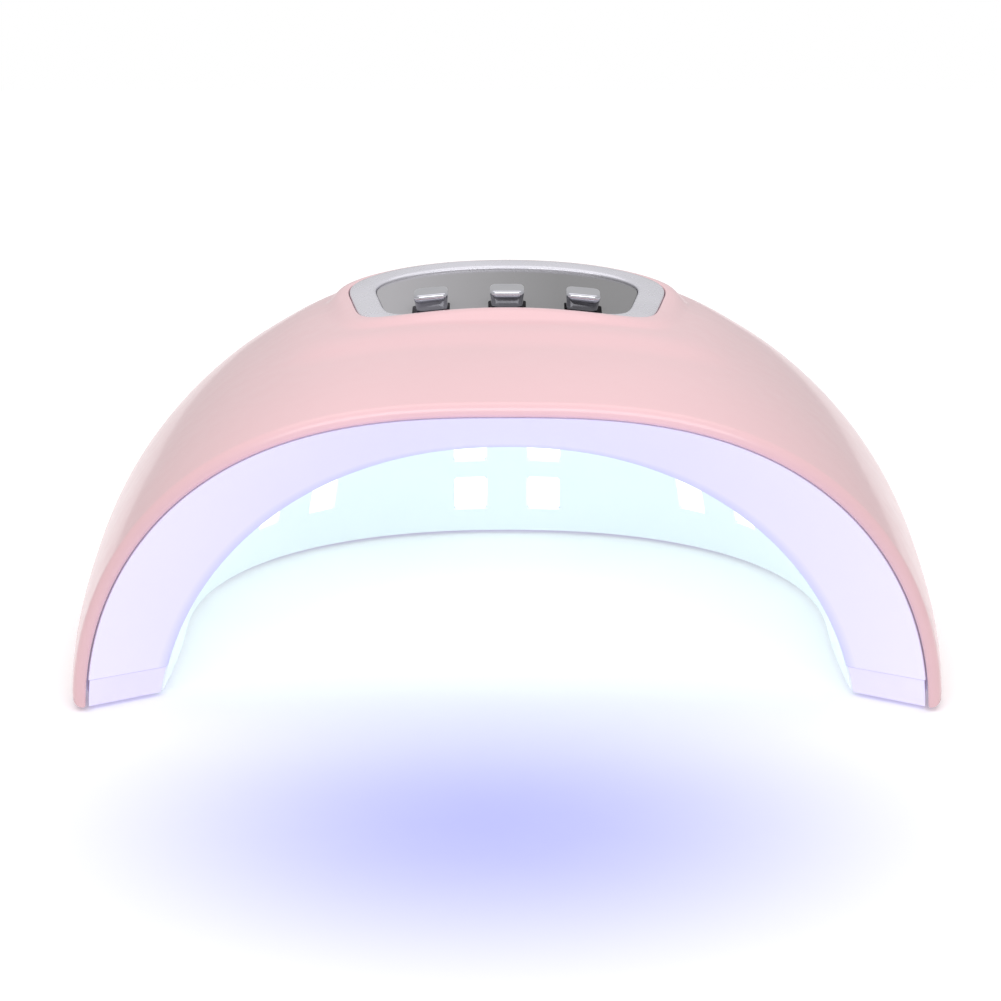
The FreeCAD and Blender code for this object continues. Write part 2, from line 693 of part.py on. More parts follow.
# ---- power inlet ---------------------------------------------------------------------------------
power = rounded(24, 5.0, POWER_BOARD, 0.8, 0, 130.6, POWER_Z - POWER_BOARD)
power = power.cut([post(1.0, 0, 20, x, y) for x, y in POWER_POSTS])
save("power_board", power)
save("power_board_screws", *[screw(x, y, POWER_Z + 1.0, 1.6, 1.0, 0.75, 3.6, -1)
                             for x, y in POWER_POSTS])
INLET = (8.9, 3.2)         # outer size of the inlet's metal shell
INLET_DEEP = 7.6


def inlet_block(width, height, deep, radius, back):
    """A rounded block lying along y, its far end at that depth."""
    solid = rounded(width, height, deep, radius, 0, 0, 0)
    solid.Placement = FreeCAD.Placement(
        V(0, back - deep, SOCKET_Z), FreeCAD.Rotation(V(1, 0, 0), -90))
    return solid


can_back = DEPTH - 1.1
metal = inlet_block(*INLET, INLET_DEEP, 1.3, can_back)
metal = metal.cut(inlet_block(INLET[0] - 0.6, INLET[1] - 0.6, INLET_DEEP, 1.0, can_back + 0.4))
save("power_socket", metal)
tongue = inlet_block(INLET[0] - 0.7, INLET[1] - 0.7, 1.8, 0.9, can_back - INLET_DEEP + 2.25)
tongue = tongue.fuse(inlet_block(6.6, 0.7, 6.0, 0.2, can_back - 1.2))
save("power_socket_tongue", tongue)

# ---- lights ------------------------------------------------------------------------------------------
for group in ("rear", "left", "right", "top"):
    lenses = []
    for name, place, outward, level in LIGHTS:
        if name == group:
            lens = rounded(LENS, LENS, LENS_THICK, 0.6, 0, 0, 0)
            lens.Placement = FreeCAD.Placement(
                place - outward * LENS_PROUD, FreeCAD.Rotation(level, outward.cross(level), outward, "ZXY"))
            lenses.append(lens)
    save(f"{group}_lenses", *lenses)
    start = LENS_THICK - LENS_PROUD + 0.05
    save(f"{group}_led_chips", *light_blocks(group, CHIP, CHIP_THICK, start))

back_angle = math.pi / 2
middle_z = (REAR_LIGHTS[0][1] + REAR_LIGHTS[2][1]) / 2
back_place = liner_point(back_angle, middle_z, 0)
back_out, back_level = liner_facing(back_angle, middle_z)
back_up = back_out.cross(back_level)
back_up = back_up if back_up.z > 0 else back_up * -1
BACK_BOARD = (25.0, 18.0)
save("rear_led_board", facing_block(*BACK_BOARD, STRIP, back_place + back_out * (STRIP_OUT + 0.15),
                                    back_out, back_level))


def strip_board(side):
    """A thin board that follows the reflector's side wall behind its lights."""
    low, high, first, last = 7.0, 17.0, -23.0, 58.5
    rails = []
    for z, outward in ((low, STRIP_OUT), (high, STRIP_OUT), (high, STRIP_OUT + STRIP),
                       (low, STRIP_OUT + STRIP)):
        spots = [liner_point(side_angle(first + (last - first) * k / 20, side), z, outward)
                 for k in range(21)]
        rails.append(open_curve(spots))
    loop = list(zip(rails, rails[1:] + rails[:1]))
    faces = [Part.makeRuledSurface(a, b) for a, b in loop]
    for end in (0, -1):
        corners = [rail.Vertexes[end].Point for rail in rails]
        faces.append(Part.makeRuledSurface(Part.makeLine(corners[0], corners[1]),
                                           Part.makeLine(corners[3], corners[2])))
    return solid_of(faces)


save("left_led_board", strip_board(-1))
save("right_led_board", strip_board(1))
save("top_led_board", post(CEILING_RADIUS - 3.6, CEILING + STRIP_OUT, CEILING + STRIP_OUT + STRIP,
                           0, CEILING_AT))


# ---- leads -----------------------------------------------------------------------------------------------
def lead(points, radius):
    """A round wire along straight runs joined by tangent arcs."""
    edges = []
    here = points[0]
    for before, corner, after in zip(points, points[1:], points[2:]):
        one, two = corner - before, after - corner
        cut = 0.45 * min(one.Length, two.Length)
        start = corner - V(one).normalize() * cut
        end = corner + V(two).normalize() * cut
        half_turn = one.getAngle(two) / 2
        bend = cut / math.tan(half_turn)
        inward = (V(two).normalize() - V(one).normalize()).normalize()
        apex = corner + inward * (bend / math.cos(half_turn) - bend)
        edges += [Part.makeLine(here, start), Part.Arc(start, apex, end).toShape()]
        here = end
    edges.append(Part.makeLine(here, points[-1]))
    path = Part.Wire(edges)
    section = Part.Wire(Part.makeCircle(radius, points[0], points[1] - points[0]))
    tube = path.makePipeShell([section], True, True)
    expected = math.pi * radius * radius * path.Length
    print(f"lead length {path.Length:.1f}, volume {tube.Volume:.2f} of {expected:.2f}")
    return tube


def back_route(x, start):
    """From a point at the back wall, up between shell and reflector, to the control board."""
    return [start, V(x, 126.3, 27), V(x, 118.5, 40), V(x, 106, 49), V(x, 93, 53.2),
            V(x, SOCKET_BACK, BOARD_TOP + 1.8)]


WIRE = 0.6
save("power_lead_red", lead(back_route(6.8, V(6.9, 129.6, POWER_Z)), WIRE))
save("power_lead_black", lead(back_route(4.4, V(5.3, 129.6, POWER_Z)), WIRE))
back_top = back_place + back_up * (BACK_BOARD[1] / 2) + back_out * (STRIP_OUT + 0.15 + STRIP / 2)
save("rear_led_lead", lead(back_route(-5.0, V(-5.0, back_top.y, back_top.z)), WIRE))
for name, side in (("left", -1), ("right", 1)):
    angle = side_angle(44, side)
    x = side * 17.0
    save(f"{name}_led_lead", lead([
        liner_point(angle, 17.0, STRIP_OUT + STRIP / 2),
        liner_point(angle, 29.0, 4.5), liner_point(side_angle(47, side), 39.0, 5.0),
        V(side * 27, 98.5, 49), V(side * 19.5, 90.5, 53.0), V(x, SOCKET_BACK, BOARD_TOP + 1.8)], WIRE))
save("top_led_lead", *[post(WIRE, CEILING + STRIP_OUT + STRIP, BOARD_BOTTOM, x, CEILING_AT)
                       for x in (-4.0, 4.0)])
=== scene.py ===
import bpy
import bmesh
import json
import math
import numpy as np
from mathutils import Matrix, Vector


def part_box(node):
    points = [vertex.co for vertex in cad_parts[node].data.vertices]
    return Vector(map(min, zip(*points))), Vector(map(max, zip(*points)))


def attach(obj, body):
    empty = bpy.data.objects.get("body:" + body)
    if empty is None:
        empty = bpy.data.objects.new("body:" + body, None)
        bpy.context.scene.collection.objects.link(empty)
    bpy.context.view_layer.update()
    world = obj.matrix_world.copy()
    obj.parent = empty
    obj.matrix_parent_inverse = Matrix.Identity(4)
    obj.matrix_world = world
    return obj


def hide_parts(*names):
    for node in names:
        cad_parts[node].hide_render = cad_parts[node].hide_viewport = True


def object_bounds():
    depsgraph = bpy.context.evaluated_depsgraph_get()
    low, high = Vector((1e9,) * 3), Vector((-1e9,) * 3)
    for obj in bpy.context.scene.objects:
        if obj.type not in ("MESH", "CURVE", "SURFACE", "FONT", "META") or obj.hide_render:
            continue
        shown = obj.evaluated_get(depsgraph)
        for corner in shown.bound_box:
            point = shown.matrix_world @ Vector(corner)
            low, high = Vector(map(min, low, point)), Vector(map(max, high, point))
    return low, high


bl_info = {
    "name": "Arched nail lamp",
    "version": (1, 0, 0),
    "blender": (4, 5, 0),
    "location": "View3D > Sidebar > Nail Lamp",
    "description": "Builds the finished look of a small arched UV LED nail lamp round its CAD frame",
    "category": "Object",
}

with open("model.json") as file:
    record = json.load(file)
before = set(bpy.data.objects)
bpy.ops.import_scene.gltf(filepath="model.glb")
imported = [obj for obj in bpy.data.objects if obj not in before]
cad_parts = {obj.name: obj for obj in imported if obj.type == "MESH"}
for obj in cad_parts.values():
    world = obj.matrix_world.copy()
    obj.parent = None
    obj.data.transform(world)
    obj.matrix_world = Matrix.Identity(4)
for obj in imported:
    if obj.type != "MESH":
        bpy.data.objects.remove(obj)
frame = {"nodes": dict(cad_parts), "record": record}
NODES = frame["nodes"]
CAD_LOW, CAD_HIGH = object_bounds()
MM = 0.001

# Shapes below are worked out in millimetres, with y measured back from the front rim and z
# up from the table, as in the CAD source; place() takes them to the frame.
HALF_WIDTH = 76.3
WIDEST_AT = 34.7
CREST = 59.6
CREST_AT = 75.0
FULL_DEPTH = 136.0
BASE = 0.8
WALL = 2.1
AHEAD = 45.0
PLAN_POWERS = (3.4, 2.95)
RIDGE_POWERS = (3.0, 3.12)
SECTION_POWERS = (2.75, 2.6, 2.12)
PANEL_AT = 66.0
PANEL_HALF_DEPTH = 20.6
PANEL_HALF_WIDTH = 28.5
PANEL_TAPER = 0.12
PANEL_POWERS = (6.0, 3.6)
PANEL_TOP = 62.5
PANEL_PITCH = 0.027
PANEL_CAMBER = 0.0035
LIP = 0.6
COLLAR_TOP = 1.2
COLLAR_RUN = 4.6
SHOULDER = (1.1, 8.0, 17.0)
SHOULDER_FADE = 0.45
BACK_DROP = 0.35
BEZEL_WIDTH = 4.9
FRONT_BAR = 0.3
PLATE_DROP = 0.8
PLATE = 1.6
LINER_HALF_WIDTH = 58.5
LINER_STRAIGHT = 51.0
LINER_BACK = 124.0
LINER_FLARE = 2.6
LINER_CREST = 48.0
LINER_CREST_AT = 60.0
LINER_FALL = 4.75
LINER_POWERS = (2.2, 3.0)
LINER_SECTION = 2.15
LINER_SINK = 0.18
CEILING_AT = 64.0
FRAME_FRONT = 0.5
FRAME_BACK = 9.6
FRAME_WALL = 1.6
FOOT_BAND = 4.6
GAP = 0.3
BUTTON_AT = 53.4
BOARD_TOP = 52.4
VENTS = [side * (17 + 5 * k) for side in (-1, 1) for k in range(4)]
VENT_SLOT = (2.0, 13.0)
VENT_Z = 26.5
INLET_HOLE = (9.8, 3.9)
INLET_Z = 11.0
BOARD_POSTS = [(side * x, y) for x, y in ((25.2, 51.5), (24.2, 78.0)) for side in (-1, 1)]


# ---- curves and levels, on arrays -----------------------------------------------------
def ease(t):
    t = np.clip(t, 0, 1)
    return t * t * (3 - 2 * t)


def fall(share, power):
    return np.maximum(0, 1 - np.clip(share, 0, 1) ** power) ** (1 / power)


def reach(inside, far, shape=()):
    """The largest length below far for which inside(length) holds, for each element."""
    near = np.zeros(shape)
    far = np.full(shape, float(far))
    for _ in range(44):
        middle = (near + far) / 2
        held = inside(middle)
        near = np.where(held, middle, near)
        far = np.where(held, far, middle)
    return near


def half_width(y, inset):
    y = np.asarray(y, float)
    front = fall((WIDEST_AT - y) / (WIDEST_AT + AHEAD - inset), PLAN_POWERS[0])
    back = fall((y - WIDEST_AT) / (FULL_DEPTH - WIDEST_AT - inset), PLAN_POWERS[1])
    return (HALF_WIDTH - inset) * np.where(y < WIDEST_AT, front, back)


def ridge(y, inset):
    y = np.asarray(y, float)
    front = fall((CREST_AT - y) / (CREST_AT + AHEAD - inset), RIDGE_POWERS[0])
    back = fall((y - CREST_AT) / (FULL_DEPTH - CREST_AT - inset), RIDGE_POWERS[1])
    return (CREST - BASE - inset) * np.where(y < CREST_AT, front, back)


def dome_height(x, y, inset):
    rim, widest, back = SECTION_POWERS
    power = np.where(y < WIDEST_AT, rim + (widest - rim) * np.maximum(0, y) / WIDEST_AT,
                     widest + (back - widest) * (y - WIDEST_AT) / (FULL_DEPTH - WIDEST_AT))
    half = np.maximum(half_width(y, inset), 1e-6)
    share = np.minimum(1, np.abs(x) / half)
    return BASE + ridge(y, inset) * np.sqrt(1 - share ** power)


def panel_inside(x, y, grow):
    front_grow = np.where(grow < 0, grow * FRONT_BAR, grow)
    along = (y - PANEL_AT) / (PANEL_HALF_DEPTH + np.where(y < PANEL_AT, front_grow, grow))
    power = np.where(along < 0, PANEL_POWERS[0], PANEL_POWERS[1])
    taper = PANEL_TAPER * np.clip(y - PANEL_AT, -20, 14)
    across = x / (PANEL_HALF_WIDTH + grow + taper)
    return np.abs(across) ** power + np.abs(along) ** power < 1


def panel_point(angle, grow):
    c, s = np.cos(angle), np.sin(angle)
    r = reach(lambda r: panel_inside(r * c, PANEL_AT + r * s, grow), 80, np.shape(angle))
    return r * c, PANEL_AT + r * s


def out_of_panel(x, y):
    """How far outside the panel's outline a point lies, up to 20 mm."""
    return reach(lambda out: ~panel_inside(x, y, out), 20, np.shape(x))


def bezel_level(x, y):
    return PANEL_TOP - PANEL_CAMBER * x * x - PANEL_PITCH * (PANEL_AT + PANEL_HALF_DEPTH - y)


def collar_level(x, y):
    """The collar's crest: proud of the bezel in front and a little below it behind."""
    front = np.minimum(1.3, np.maximum(0, (PANEL_AT - y) / PANEL_HALF_DEPTH) ** 2)
    behind = np.minimum(1, np.maximum(0, (y - PANEL_AT) / PANEL_HALF_DEPTH) ** 2)
    return bezel_level(x, y) + LIP * front * (1 - (x / 34) ** 2) - BACK_DROP * behind


def shell_height(x, y, out, inset):
    step, full, end = SHOULDER
    step = step * (1 - SHOULDER_FADE * np.clip((y - PANEL_AT) / PANEL_HALF_DEPTH, 0, 1))
    low = dome_height(x, y, inset) + step * ease((end - out) / (end - full))
    collar = collar_level(x, y) - inset
    return low + (collar - low) * ease((COLLAR_RUN - out) / (COLLAR_RUN - COLLAR_TOP))


def liner_half(y, inset):
    half = LINER_HALF_WIDTH - inset
    front = half + LINER_FLARE * (1 - np.minimum(y, LINER_STRAIGHT) / LINER_STRAIGHT) ** 2
    back = half * fall((y - LINER_STRAIGHT) / (LINER_BACK - LINER_STRAIGHT - inset), LINER_POWERS[0])
    return np.where(y < LINER_STRAIGHT, front, back)


def liner_height(x, y, inset):
    top = LINER_CREST - BASE - inset
    front = top - LINER_FALL * ((LINER_CREST_AT - y) / LINER_CREST_AT) ** 2
    back = top * fall((y - LINER_CREST_AT) / (LINER_BACK - LINER_CREST_AT - inset), LINER_POWERS[1])
    reach_out = (1 - (LINER_SINK / (1 + LINER_SINK)) ** 2) ** (1 / LINER_SECTION)
    share = np.minimum(1, np.abs(x) / np.maximum(liner_half(y, inset), 1e-6))
    arch = (1 + LINER_SINK) * np.sqrt(1 - (reach_out * share) ** LINER_SECTION) - LINER_SINK
    return BASE + np.where(y < LINER_CREST_AT, front, back) * np.maximum(0, arch)


def run_along(points):
    """The length along a row of points up to each of them."""
    return np.r_[0, np.cumsum(np.linalg.norm(np.diff(points, axis=0), axis=1))]


def rounded(start, sharp, end, steps):
    """Points that round a sharp corner off, from start to end."""
    rows = []
    for t in np.linspace(0, 1, steps):
        weights = ((1 - t) ** 2, math.sqrt(2) * t * (1 - t), t ** 2)
        rows.append((weights[0] * start + weights[1] * sharp + weights[2] * end) / sum(weights))
    return rows


def place(points):
    """Millimetre points to the frame's metres."""
    points = np.asarray(points, float)
    return (points - np.array([0, FULL_DEPTH / 2, 0])) * MM


# ---- mesh helpers -------------------------------------------------------------------------
def new_object(name, data):
    made = bpy.data.objects.new(name, data)
    bpy.context.scene.collection.objects.link(made)
    return made


def tidy(made, smooth_angle=38):
    """Merges doubles, turns faces outward and shades smooth up to an angle."""
    work = bmesh.new()
    work.from_mesh(made.data)
    bmesh.ops.remove_doubles(work, verts=work.verts, dist=2e-6)
    bmesh.ops.dissolve_degenerate(work, edges=work.edges, dist=1e-6)
    bmesh.ops.recalc_face_normals(work, faces=work.faces)
    for face in work.faces:
        face.smooth = True
    for edge in work.edges:
        if len(edge.link_faces) == 2:
            edge.smooth = edge.calc_face_angle(0) < math.radians(smooth_angle)
    work.to_mesh(made.data)
    work.free()
    return made


def grid_object(name, grid, smooth_angle=38):
    """A closed quad mesh from an array [column, row, xyz] whose columns and rows both close."""
    columns, rows = grid.shape[:2]
    faces = []
    for i in range(columns):
        a, b = i * rows, (i + 1) % columns * rows
        for j in range(rows):
            k = (j + 1) % rows
            faces.append((a + j, b + j, b + k, a + k))
    mesh = bpy.data.meshes.new(name)
    mesh.from_pydata(place(grid).reshape(-1, 3).tolist(), [], faces)
    return tidy(new_object(name, mesh), smooth_angle)


def turned(name, profile, power=2.0, around=48):
    """A closed piece round +Z in millimetres; profile lists (half width, height) from foot to
    top. Power 2 is round, and a higher power a square with rounded corners."""
    angle = np.arange(around) / around * 2 * math.pi + math.pi / around
    c, s = np.cos(angle), np.sin(angle)
    swell = (np.abs(c) ** power + np.abs(s) ** power) ** (-1 / power)
    rows = [np.stack([w * swell * c, w * swell * s, np.full(around, z)], 1) for w, z in profile]
    faces = []
    for j in range(len(profile) - 1):
        for i in range(around):
            k = (i + 1) % around
            faces.append((j * around + i, j * around + k, (j + 1) * around + k, (j + 1) * around + i))
    faces.append(tuple(range(around))[::-1])
    faces.append(tuple((len(profile) - 1) * around + i for i in range(around)))
    mesh = bpy.data.meshes.new(name)
    mesh.from_pydata((np.concatenate(rows) * MM).tolist(), [], faces)
    return tidy(new_object(name, mesh))


def stood(profile, x, y, z):
    """A round post with its foot at a place in millimetres."""
    post = turned("post", profile)
    post.data.transform(Matrix.Translation(place([x, y, z])))
    return post


def corner(width, height, radius, start, end, steps=4):
    """Points of a rounded profile corner about (width, height), from one angle to another."""
    angles = np.radians(np.linspace(start, end, steps + 1))
    return [(width + radius * math.cos(a), height + radius * math.sin(a)) for a in angles]


def baked(made):
    """Turns an object's modifiers into its plain mesh."""
    depsgraph = bpy.context.evaluated_depsgraph_get()
    mesh = bpy.data.meshes.new_from_object(made.evaluated_get(depsgraph))
    mesh.name = made.name
    if made.type == "MESH":
        made.modifiers.clear()
        made.data = mesh
        return made
    name = made.name
    bpy.data.objects.remove(made)
    return new_object(name, mesh)


def joined(name, parts):
    """Several meshes made one piece."""
    work = bmesh.new()
    for part in parts:
        work.from_mesh(part.data)
        bpy.data.objects.remove(part)
    mesh = bpy.data.meshes.new(name)
    work.to_mesh(mesh)
    work.free()
    return new_object(name, mesh)


def cut_with(made, cutter):
    """Cuts a solid out of a piece and removes the cutter."""
    cut = made.modifiers.new("cut", "BOOLEAN")
    cut.operation = "DIFFERENCE"
    cut.solver = "EXACT"
    cut.object = cutter
    baked(made)
    bpy.data.objects.remove(cutter)


def islands(node):
    """The separate solids of a CAD node, each as an array of its corner points, in order."""
    work = bmesh.new()
    work.from_mesh(NODES[node].data)
    bmesh.ops.remove_doubles(work, verts=work.verts, dist=1e-6)
    todo = set(work.verts)
    found = []
    while todo:
        front = [todo.pop()]
        group = []
        while front:
            vert = front.pop()
            group.append(tuple(vert.co))
            for edge in vert.link_edges:
                other = edge.other_vert(vert)
                if other in todo:
                    todo.discard(other)
                    front.append(other)
        found.append(np.array(group))
    work.free()
    return sorted(found, key=lambda points: tuple(points.mean(0).round(5)))


def block_axes(points, towards):
    """Centre, facing and level direction of a thin block, facing towards a point."""
    centre = (points.min(0) + points.max(0)) / 2
    for _ in range(3):
        turn = np.linalg.svd(points - centre, full_matrices=False)[2]
        spans = (points - centre) @ turn.T
        centre = centre + (spans.min(0) + spans.max(0)) / 2 @ turn
    facing = turn[np.argmin(np.ptp((points - centre) @ turn.T, axis=0))]
    if facing @ (towards - centre) < 0:
        facing = -facing
    level = np.cross(facing, [0, 0, 1])
    if np.linalg.norm(level) < 0.1:
        level = np.array([1.0, 0, 0])
    return centre, facing, level / np.linalg.norm(level)


# ---- nodes ------------------------------------------------------------------------------------
class Nodes:
    """Adds nodes to a tree, each with its inputs and settings in one call."""

    def __init__(self, tree):
        self.tree = tree

    def add(self, kind, inputs=None, **settings):
        node = self.tree.nodes.new(kind)
        for key, value in settings.items():
            setattr(node, key, value)
        for key, value in (inputs or {}).items():
            self.feed(node.inputs[key], value)
        return node

    def feed(self, socket, value):
        """Links a socket to another one, or sets its value."""
        if isinstance(value, bpy.types.NodeSocket):
            self.tree.links.new(value, socket)
        else:
            socket.default_value = value


class Tree(Nodes):
    """A geometry node tree with named inputs."""

    def __init__(self, name, **inputs):
        super().__init__(bpy.data.node_groups.new(name, "GeometryNodeTree"))
        self.tree.interface.new_socket("Geometry", in_out="INPUT", socket_type="NodeSocketGeometry")
        for title, (kind, value) in inputs.items():
            socket = self.tree.interface.new_socket(
                title.replace("_", " "), in_out="INPUT", socket_type="NodeSocket" + kind)
            if value is not None:
                socket.default_value = value
        self.tree.interface.new_socket("Geometry", in_out="OUTPUT", socket_type="NodeSocketGeometry")
        self.given = self.add("NodeGroupInput").outputs

    def finish(self, geometry):
        """Ends the tree in real geometry with its material."""
        smooth = self.add("GeometryNodeSetShadeSmooth", {"Geometry": geometry})
        real = self.add("GeometryNodeRealizeInstances", {"Geometry": smooth.outputs[0]})
        painted = self.add("GeometryNodeSetMaterial", {
            "Geometry": real.outputs[0], "Material": self.given["Material"]})
        self.add("NodeGroupOutput", {0: painted.outputs[0]})
        return self.tree


def apply_tree(made, tree, **values):
    """Runs a tree on an object with these inputs and leaves its plain mesh."""
    nodes = made.modifiers.new(tree.name, "NODES")
    nodes.node_group = tree
    for item in tree.interface.items_tree:
        key = item.name.replace(" ", "_")
        if item.in_out == "INPUT" and key in values:
            nodes[item.identifier] = values[key]
    return baked(made)


def set_out_tree():
    """Sets a piece out on points, each turned by its own facing and level directions."""
    tree = Tree("Set out pieces", Piece=("Object", None), Scale=("Float", 1.0), Material=("Material", None))
    facing = tree.add("GeometryNodeInputNamedAttribute", {"Name": "facing"}, data_type="FLOAT_VECTOR")
    level = tree.add("GeometryNodeInputNamedAttribute", {"Name": "level"}, data_type="FLOAT_VECTOR")
    turn = tree.add("FunctionNodeAxesToRotation", {
        "Primary Axis": facing.outputs["Attribute"], "Secondary Axis": level.outputs["Attribute"]},
        primary_axis="Z", secondary_axis="X")
    piece = tree.add("GeometryNodeObjectInfo", {"Object": tree.given["Piece"]})
    placed = tree.add("GeometryNodeInstanceOnPoints", {
        "Points": tree.given["Geometry"], "Instance": piece.outputs["Geometry"],
        "Rotation": turn.outputs[0], "Scale": tree.given["Scale"]})
    return tree.finish(placed.outputs[0])


def loft_tree():
    """Lofts a smooth closed skin through the splines of a curve object, taken in order."""
    tree = Tree("Loft a section", Columns=("Int", 160), Rows=("Int", 12), Material=("Material", None))
    more_rows = tree.add("FunctionNodeIntegerMath", {0: tree.given["Rows"], 1: 1}, operation="ADD")
    grid = tree.add("GeometryNodeMeshGrid", {
        "Vertices X": tree.given["Columns"], "Vertices Y": more_rows.outputs[0],
        "Size X": 1.0, "Size Y": 1.0})
    index = tree.add("GeometryNodeInputIndex")
    # vertices are numbered along Y first: index = column * rows + row
    row = tree.add("FunctionNodeIntegerMath", {0: index.outputs[0], 1: more_rows.outputs[0]},
                   operation="MODULO")
    spline = tree.add("FunctionNodeIntegerMath", {0: row.outputs[0], 1: tree.given["Rows"]},
                      operation="MODULO")
    column = tree.add("FunctionNodeIntegerMath", {0: index.outputs[0], 1: more_rows.outputs[0]},
                      operation="DIVIDE_FLOOR")
    last = tree.add("ShaderNodeMath", {0: tree.given["Columns"], 1: 1.0}, operation="SUBTRACT")
    share = tree.add("ShaderNodeMath", {0: column.outputs[0], 1: last.outputs[0]}, operation="DIVIDE")
    there = tree.add("GeometryNodeSampleCurve", {
        "Curves": tree.given["Geometry"], "Factor": share.outputs[0], "Curve Index": spline.outputs[0]},
        mode="FACTOR")
    there.use_all_curves = False
    set_there = tree.add("GeometryNodeSetPosition", {
        "Geometry": grid.outputs["Mesh"], "Position": there.outputs["Position"]})
    merged = tree.add("GeometryNodeMergeByDistance", {"Geometry": set_there.outputs[0], "Distance": 2e-6})
    return tree.finish(merged.outputs[0])


def set_out(name, piece, places, finish):
    """One plain mesh of a piece repeated at places, each (centre, facing, level)."""
    mesh = bpy.data.meshes.new(name)
    mesh.from_pydata([tuple(centre) for centre, _, _ in places], [], [])
    for title, column in (("facing", 1), ("level", 2)):
        values = np.array([spot[column] for spot in places], np.float32).ravel()
        mesh.attributes.new(title, "FLOAT_VECTOR", "POINT").data.foreach_set("vector", values)
    made = apply_tree(new_object(name, mesh), set_out_tree(), Piece=piece, Material=finish.material)
    bpy.data.objects.remove(piece)
    for title in ("facing", "level"):
        if title in made.data.attributes:
            made.data.attributes.remove(made.data.attributes[title])
    return made


def loft(name, loops, closed, columns, finish):
    """A lofted skin through loops, an array [loop, point, xyz]; closed loops join their ends."""
    curve = bpy.data.curves.new(name, "CURVE")
    curve.dimensions = "3D"
    for loop in place(loops):
        points = np.concatenate([loop, loop[:1]]) if closed else loop
        spline = curve.splines.new("POLY")
        spline.points.add(len(points) - 1)
        spline.points.foreach_set("co", np.c_[points, np.ones(len(points))].ravel())
    made = apply_tree(new_object(name, curve), loft_tree(), Columns=columns, Rows=len(loops),
                      Material=finish.material)
    work = bmesh.new()
    work.from_mesh(made.data)
    bmesh.ops.holes_fill(work, edges=work.edges, sides=0)
    work.to_mesh(made.data)
    work.free()
    return tidy(made)


def round_section(corners, radii, steps=5):
    """Rounds the corners of a closed section. corners is [corner, point, xyz] in millimetres."""
    rows = []
    count = len(corners)
    for k, radius in enumerate(radii):
        here, before, after = corners[k], corners[k - 1], corners[(k + 1) % count]
        start = here + (before - here) * (radius / np.linalg.norm(before - here, axis=1, keepdims=True))
        end = here + (after - here) * (radius / np.linalg.norm(after - here, axis=1, keepdims=True))
        rows += rounded(start, here, end, steps)
    return np.array(rows)


class Finish(Nodes):
    """A material built from nodes, with its parts reached by plain names."""

    def __init__(self, name):
        self.material = bpy.data.materials.new(name)
        self.material.use_nodes = True
        super().__init__(self.material.node_tree)
        self.shader = self.tree.nodes["Principled BSDF"]
        self.where = self.add("ShaderNodeTexCoord").outputs["Object"]

    def set(self, **values):
        """Shader inputs by name, with _ for a space."""
        for key, value in values.items():
            name = key.replace("_", " ")
            if isinstance(value, (tuple, list)) and len(value) == 3:
                value = (*value, 1)
            self.feed(self.shader.inputs[name], value)
        return self

    def noise(self, scale, detail=3, roughness=0.5, stretch=None):
        where = self.where
        if stretch:
            where = self.add("ShaderNodeMapping", {"Vector": where, "Scale": stretch}).outputs[0]
        return self.add("ShaderNodeTexNoise", {
            "Vector": where, "Scale": scale, "Detail": detail, "Roughness": roughness}).outputs["Fac"]

    def along(self, axis):
        """A point's place along an axis, in metres."""
        return self.add("ShaderNodeSeparateXYZ", {"Vector": self.where}).outputs[axis]

    def share(self, value, low, high, **settings):
        """How far a value has gone from low to high, from 0 to 1."""
        return self.add("ShaderNodeMapRange", {
            "Value": value, "From Min": low, "From Max": high}, **settings).outputs[0]

    def mix(self, factor, low, high):
        """A colour that runs from low to high with a factor."""
        return self.add("ShaderNodeMix", {0: factor, 6: low, 7: high}, data_type="RGBA").outputs[2]

    def between(self, factor, low, high, start=0.35, end=0.65):
        """A value or colour that runs from low to high as factor goes from start to end."""
        ramp = self.add("ShaderNodeValToRGB", {"Fac": factor})
        stops = ramp.color_ramp.elements
        as_colour = (lambda v: (*v, 1)) if isinstance(low, (tuple, list)) else (lambda v: (v, v, v, 1))
        stops[0].position, stops[0].color = start, as_colour(low)
        stops[1].position, stops[1].color = end, as_colour(high)
        return ramp.outputs["Color"]

    def bump(self, height, strength, distance):
        node = self.add("ShaderNodeBump", {"Height": height, "Strength": strength,
                                           "Distance": distance})
        self.feed(self.shader.inputs["Normal"], node.outputs["Normal"])
        return self


def shade(colour, by):
    return tuple(min(1.0, c * by) for c in colour)


def moulded(name, colour, roughness=0.35, grain=900, depth=0.00004, shift=0.04, **extra):
    """Moulded plastic: faint flow marks in its colour, uneven gloss and a fine surface grain."""
    finish = Finish(name)
    flow = finish.noise(28, 4, 0.6)
    fine = finish.noise(grain, 2, 0.55)
    finish.set(Base_Color=finish.between(flow, shade(colour, 1 - shift), shade(colour, 1 + shift)),
               Roughness=finish.between(fine, roughness * 0.85, roughness * 1.15), **extra)
    return finish.bump(fine, 0.35, depth)


def metal(name, colour, roughness, stretch=(1, 1, 1), grain=1500, amount=1.0, grooves=0.2):
    """Metal with fine drawn or polished marks."""
    finish = Finish(name)
    marks = finish.noise(grain, 3, 0.6, stretch)
    cloud = finish.noise(60, 3, 0.5)
    finish.set(Base_Color=finish.between(cloud, shade(colour, 0.95), shade(colour, 1.04)),
               Metallic=amount, Roughness=finish.between(marks, roughness * 0.7, roughness * 1.3))
    return finish.bump(marks, grooves, 0.00001)


# ---- settings ---------------------------------------------------------------------------------
def colour_setting(name, what, value):
    return bpy.props.FloatVectorProperty(name=name, description=what, default=value, size=3,
                                         subtype="COLOR", min=0, max=1)


def length_setting(name, what, value):
    return bpy.props.FloatProperty(name=name, description=what, default=value, unit="LENGTH",
                                   subtype="DISTANCE", min=0)


